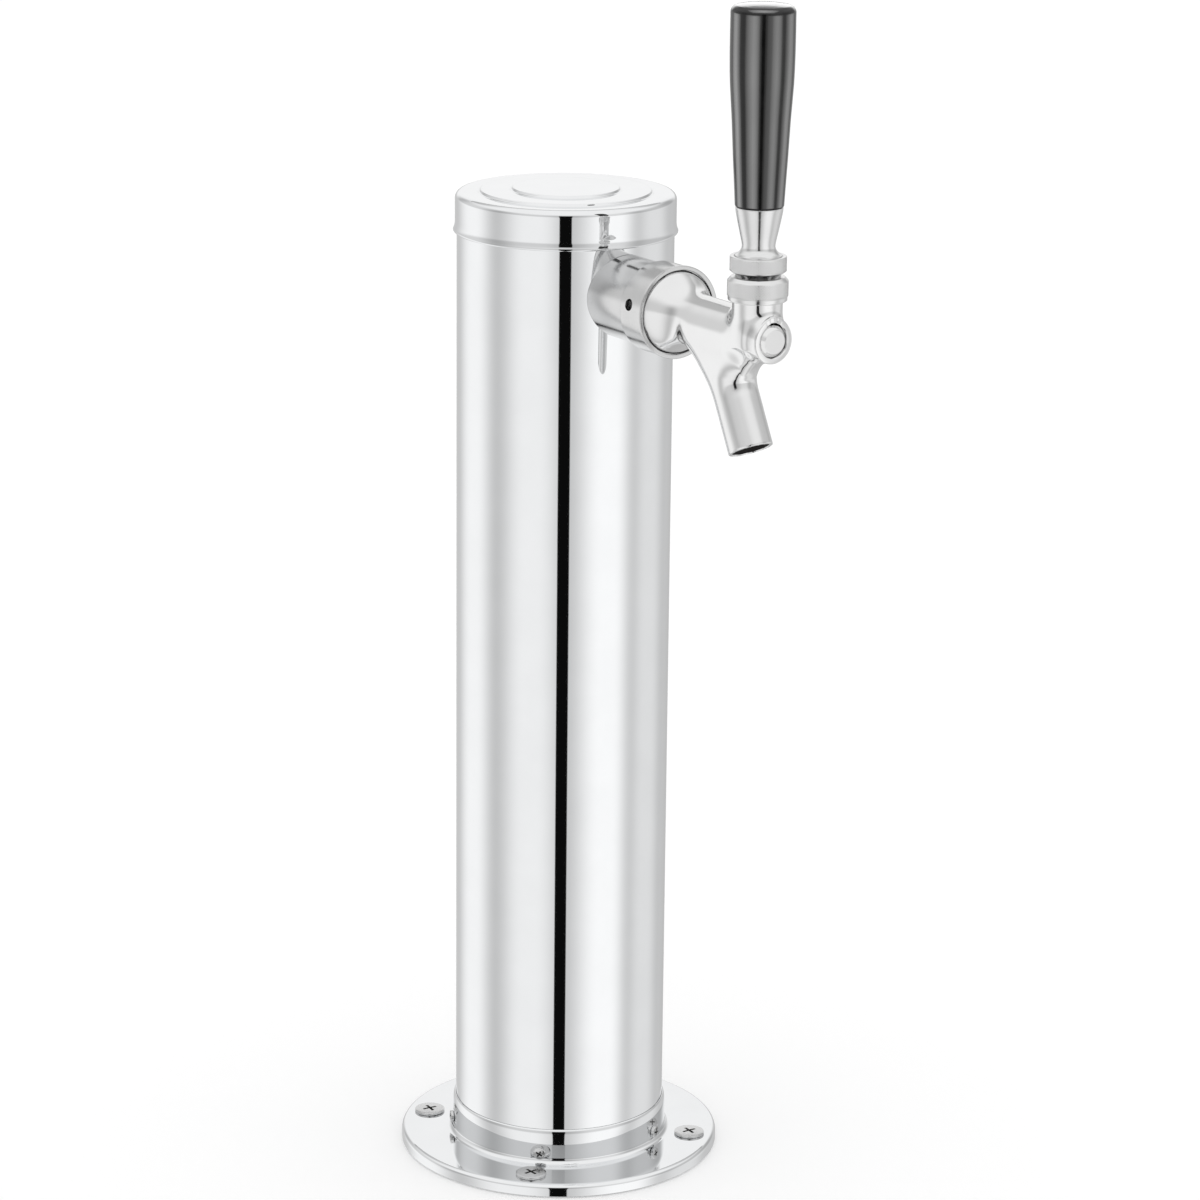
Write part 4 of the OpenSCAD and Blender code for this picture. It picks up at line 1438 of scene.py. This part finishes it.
    def open_end(
        self,
        body: bpy.types.Object,
        centre: Vector,
        along: Vector,
        radius: float,
        steps: list[Pair],
        near: float = 1000.0,
    ) -> None:
        """Cut the body square to an axis and draw a lip and a bore from the cut's edge.

        Args:
            body: the faucet body.
            centre: the cut's centre in metres.
            along: the unit direction out of the body.
            radius: the radius at the cut, in mm.
            steps: the next radii, each with its distance out from the cut.
            near: only faces this near to the centre are cut, in mm.
        """
        select_only(body)
        bpy.ops.object.mode_set(mode="EDIT")
        bpy.ops.mesh.select_all(action="DESELECT")
        mesh = bmesh.from_edit_mesh(body.data)
        for face in mesh.faces:
            if (face.calc_center_median() - centre).length < near * MM:
                face.select_set(True)
        bmesh.update_edit_mesh(body.data)
        bpy.ops.mesh.bisect(plane_co=centre, plane_no=along, clear_outer=True, use_fill=False)
        here, out = radius, 0.0
        for wide, reach in steps:
            bpy.ops.mesh.extrude_edges_move(
                TRANSFORM_OT_translate={"value": along * ((reach - out) * MM)}
            )
            share = wide / here
            bpy.ops.transform.resize(
                value=(share, share, share), center_override=centre + along * (reach * MM)
            )
            here, out = wide, reach
        bpy.ops.mesh.merge(type="CENTER")
        bpy.ops.mesh.select_all(action="SELECT")
        bpy.ops.mesh.normals_make_consistent(inside=False)
        bpy.ops.object.mode_set(mode="OBJECT")

    def build_body(self, finishes: Finishes) -> bpy.types.Object:
        """Blend the body and open its rear, its boss and its spout.

        Args:
            finishes: the tower's finishes.

        Returns:
            The faucet body.
        """
        body = self.rough_form()
        self.draw_to_skin(body)
        lean = math.radians(self.spout_angle)
        spout = Vector((0, -math.cos(lean), -math.sin(lean)))
        front, up = Vector((0, -1, 0)), Vector((0, 0, 1))
        bend = Vector((0, -self.bend[0], self.bend[1])) * MM
        axis = Vector((0, 0, TAP_Z * MM))
        boss = axis + front * (110 * MM)
        # The boss: a rounded lip, a fine groove round the bore, and the bore
        self.open_end(
            body,
            axis + front * ((self.boss_s - 0.6) * MM),
            front,
            self.boss_r,
            [(self.boss_r - 0.06, 0.3), (self.boss_r - 0.22, 0.5), (self.boss_r - 0.5, 0.6)]
            + [(self.recess_r + 0.2, 0.6), (self.recess_r, 0.42), (self.recess_r, -0.9)]
            + [(self.recess_r, -9.0)],
        )
        # The spout's mouth: a rounded lip and the bore up to the bend
        mouth = self.spout_len - 0.4
        self.open_end(
            body,
            bend + spout * (mouth * MM),
            spout,
            self.spout_r,
            [(self.spout_r - 0.1, 0.26), (self.spout_r - 0.35, 0.4)]
            + [(self.spout_bore_r + 0.3, 0.4), (self.spout_bore_r, 0.1), (self.spout_bore_r, -16.0)],
        )
        # The neck: a shoulder under the bonnet and the pocket of the lever's ball
        self.open_end(
            body,
            Vector((0, -LEVER_S, self.neck_top_z)) * MM,
            up,
            self.neck_r,
            [(self.neck_r - 0.5, 0.05), (self.neck_r - 0.5, 3.0), (6.4, 3.0), (6.4, -2.5)],
            12.0,
        )
        # The rear: the bell's flat back and the stepped beer passage
        self.open_end(
            body,
            axis + front * (self.rear_s * MM),
            -front,
            self.bell_r,
            [(self.bell_r - 0.2, 0.15), (9.6, 0.15), (9.6, -9.0), (5.9, -9.0), (5.9, -12.0)],
        )
        reshade(body, 35)
        finishes.dress(body, Slot.CHROME, "tower", "faucet_body")
        inside = []
        # Start, direction, length and radius of each bore
        bores = ((bend, spout, 30.0, self.spout_bore_r), (boss, front, 12.4, self.recess_r))
        for face in body.data.polygons:
            for start, way, reach, bore_r in bores:
                from_start = face.center - start
                run = from_start.dot(way)
                if 0 < run < reach * MM and (from_start - way * run).length < (bore_r + 0.03) * MM:
                    inside.append(face.index)
        # The bores' faces get the near-black painted shade
        finishes.paint_shade_into(body, inside, finishes.bore_painted_shade)
        return body

    def build_bonnet(self, finishes: Finishes) -> bpy.types.Object:
        """Turn the bonnet and press its knurl, coarser than the real one, which wouldn't show.

        Args:
            finishes: the tower's finishes.

        Returns:
            The bonnet.
        """
        radius, foot, top = self.bonnet_r, self.bonnet_foot_z, self.bonnet_top_z
        low, high = foot + 2.0, top - 1.45
        outline = (
            [(7.95, foot), (radius - 0.9, foot)]
            + arc(radius - 0.85, foot + 0.55, 0.55, -90, 0, 6)
            + [(radius - 0.3, foot + 1.6), (radius - 0.02, foot + 1.85)]
            + rows(radius, low, high, 0.18)
            + [(radius - 0.08, top - 1.3), (radius - 1.2, top - 0.1), (radius - 1.4, top)]
            + [(7.6, top), (5.35, 340.0), (5.3, 339.95), (7.95, 339.95), (7.95, foot)]
        )
        bonnet = turned("bonnet_ring", outline, 432, 40)
        knurl(bonnet, radius, (low, high), self.bonnet_diamonds, self.bonnet_knurl)
        settle(bonnet, ON_LEVER)
        return finishes.dress(bonnet, Slot.CHROME, "tower", "bonnet", finishes.soft_chrome)

    def build_shaft(self, finishes: Finishes) -> bpy.types.Object:
        """Turn the valve shaft, whose chamfered end shows in the boss, and mill its pocket.

        Args:
            finishes: the tower's finishes.

        Returns:
            The shaft.
        """
        rear, front, guide = self.shaft_rear_s, self.shaft_front_s, self.guide_s
        outline = (
            [(0, rear), (2.4, rear), (2.4, 71.9), (3, 71.9), (3, guide), (self.guide_r, guide)]
            + [(self.guide_r, 122.6), (5.3, 122.85), (4.1, 124.25)]
            + arc(3.9, 124.2, 0.2, 40, 90, 3)
            + [(2, front), (0, front)]
        )
        shaft = turned("valve_shaft", outline, 128)
        cut(shaft, block((0, 3.2, self.pocket_s), (4.72, 11.6, 7.8)))
        reshade(shaft, 30)
        settle(shaft, ON_TAP)
        return finishes.dress(shaft, Slot.CHROME, "valve", "shaft")


@dataclass(frozen=True)
class Handle:
    """The lever with its knurled collar, its waisted ferrule and its black grip."""

    pivot_z: float = 337.0
    ball_r: float = 5.8
    rod_r: float = 2.0
    tip_r: float = 2.3
    lever_neck_r: float = 3.5
    lever_neck_z: float = 343.3
    shoulder_z: float = 347.5
    thread_r: float = 4.75
    lever_top_z: float = 358.1
    collar_r: float = 9.4
    collar_foot_z: float = 345.4
    collar_top_z: float = 350.9
    collar_diamonds: int = 56
    collar_knurl: float = 0.3
    hollow_r: float = 8.3
    hollow_h: float = 2.1
    ferrule_z: float = 350.4
    grip_z: float = 367.2
    grip_top_z: float = 433.4
    stud_hole_r: float = 4.0

    def build(self, finishes: Finishes) -> list[bpy.types.Object]:
        """Make the lever, the collar, the ferrule and the grip, in that order."""
        makers = (self.build_lever, self.build_collar, self.build_ferrule, self.build_grip)
        return [make(finishes) for make in makers]

    def build_lever(self, finishes: Finishes) -> bpy.types.Object:
        """Turn the lever: its tip, the rod, the ball, the neck and the threaded end.

        Args:
            finishes: the tower's finishes.

        Returns:
            The lever.
        """
        thread, shoulder, top = self.thread_r, self.shoulder_z, self.lever_top_z
        outline = (
            [(0, TAP_Z - self.tip_r)]
            + arc(0, TAP_Z, self.tip_r, -75, 26, 9)
            + [(self.rod_r, TAP_Z + 1.15)]
            + arc(0, self.pivot_z, self.ball_r, -69.8, 56.5, 24)
            + [(self.lever_neck_r, self.lever_neck_z), (self.lever_neck_r, shoulder)]
            + [(thread - 0.4, shoulder), (thread, shoulder + 0.4)]
            + [(thread, top - 0.6), (thread - 0.6, top), (0, top)]
        )
        lever = turned("lever_rod", outline, 96)
        settle(lever, ON_LEVER)
        return finishes.dress(lever, Slot.CHROME, "lever", "lever")

    def build_collar(self, finishes: Finishes) -> bpy.types.Object:
        """Turn the lever's collar and press its coarse knurl.

        Args:
            finishes: the tower's finishes.

        Returns:
            The collar.
        """
        foot, top, radius = self.collar_foot_z, self.collar_top_z, self.collar_r
        low, high = foot + 0.75, top - 0.55
        ceiling = foot + self.hollow_h
        outline = (
            [(self.hollow_r, foot + 0.06), (radius - 0.9, foot), (radius - 0.35, foot + 0.35)]
            + [(radius - 0.04, foot + 0.68)]
            + rows(radius, low, high, 0.176)
            + arc(radius - 0.42, top - 0.42, 0.42, 10, 90, 5)
            + [(8.15, top), (8.0, top - 0.12), (8.0, top - 0.5), (4.8, top - 0.5)]
            + [(4.8, ceiling), (self.hollow_r, ceiling), (self.hollow_r, foot + 0.06)]
        )
        collar = turned("knurled_collar", outline, 336, 40)
        knurl(collar, radius, (low, high), self.collar_diamonds, self.collar_knurl)
        settle(collar, ON_LEVER)
        return finishes.dress(collar, Slot.CHROME, "lever", "lever_collar", finishes.soft_chrome)

    def build_ferrule(self, finishes: Finishes) -> bpy.types.Object:
        """Turn the ferrule, from its foot in the collar up its waist to the grip.

        Args:
            finishes: the tower's finishes.

        Returns:
            The ferrule.
        """
        z, hole = self.ferrule_z, self.stud_hole_r
        side = flow(
            [(7.55, z + 0.75), (6.75, z + 1.35), (5.85, z + 2.45), (5.5, z + 3.7), (5.72, z + 5.4)]
            + [(6.35, z + 8.2), (7.05, z + 11.5), (7.6, z + 14.3), (7.85, z + 15.9)],
            6,
        )
        outline = (
            [(4.8, z), (7.6, z), (7.75, z + 0.15), (7.75, z + 0.55), (7.68, z + 0.7)]
            + side
            + arc(7.45, z + 16.3, 0.45, 20, 90, 5)
            + [(hole, z + 16.78), (hole, z + 7.7), (4.8, z + 7.7), (4.8, z)]
        )
        ferrule = turned("waisted_ferrule", outline, 144, 40)
        settle(ferrule, ON_LEVER)
        return finishes.dress(ferrule, Slot.CHROME, "lever", "handle_ferrule", finishes.soft_chrome)

    def build_grip(self, finishes: Finishes) -> bpy.types.Object:
        """Mould the grip, with a softened foot and a domed top.

        Args:
            finishes: the tower's finishes.

        Returns:
            The grip.
        """
        z, top, hole = self.grip_z, self.grip_top_z, self.stud_hole_r
        side = flow(
            [(8.08, z + 0.45), (8.5, z + 8), (8.93, z + 15.2), (9.26, z + 21.7), (9.6, z + 28.3)]
            + [(10.05, z + 35), (10.44, z + 41.4), (10.62, z + 48.5), (10.65, z + 55)]
            + [(10.63, top - 3.4)],
            6,
        )
        outline = (
            [(hole, z + 0.02), (7.7, z + 0.02), (7.98, z + 0.15)]
            + side
            + arc(8.23, top - 3.1, 2.4, 4, 74, 12)
            + [(8.0, top - 0.62), (6.5, top - 0.4), (4.5, top - 0.18), (2.2, top - 0.04), (0, top)]
            + [(0, z + 15.2), (hole, z + 15.2), (hole, z + 0.02)]
        )
        grip = turned("black_grip", outline, 144, 40)
        settle(grip, ON_LEVER)
        return finishes.dress(grip, Slot.GRIP, "lever", "handle_grip")


def main() -> None:
    """Build the studio and the tower in order, log each piece's faces and light the grip."""
    logging.basicConfig(level=logging.INFO, format="%(name)s: %(message)s")
    bpy.context.scene.view_settings.view_transform = "Standard"
    studio = Studio()
    studio.light_world()
    studio.place_camera()
    studio.lay_floor()
    finishes = Finishes.make_all()
    finishes.dress_nodes()
    pieces = []
    for part in (Column(), Cap(), Base(), Shank(), Faucet(), Handle()):
        for piece in part.build(finishes):
            log.info("%s: %d faces", piece.name, len(piece.data.polygons))
            pieces.append(piece)
    grip = pieces[-1]
    studio.light_grip(grip)


if __name__ == "__main__":
    main()
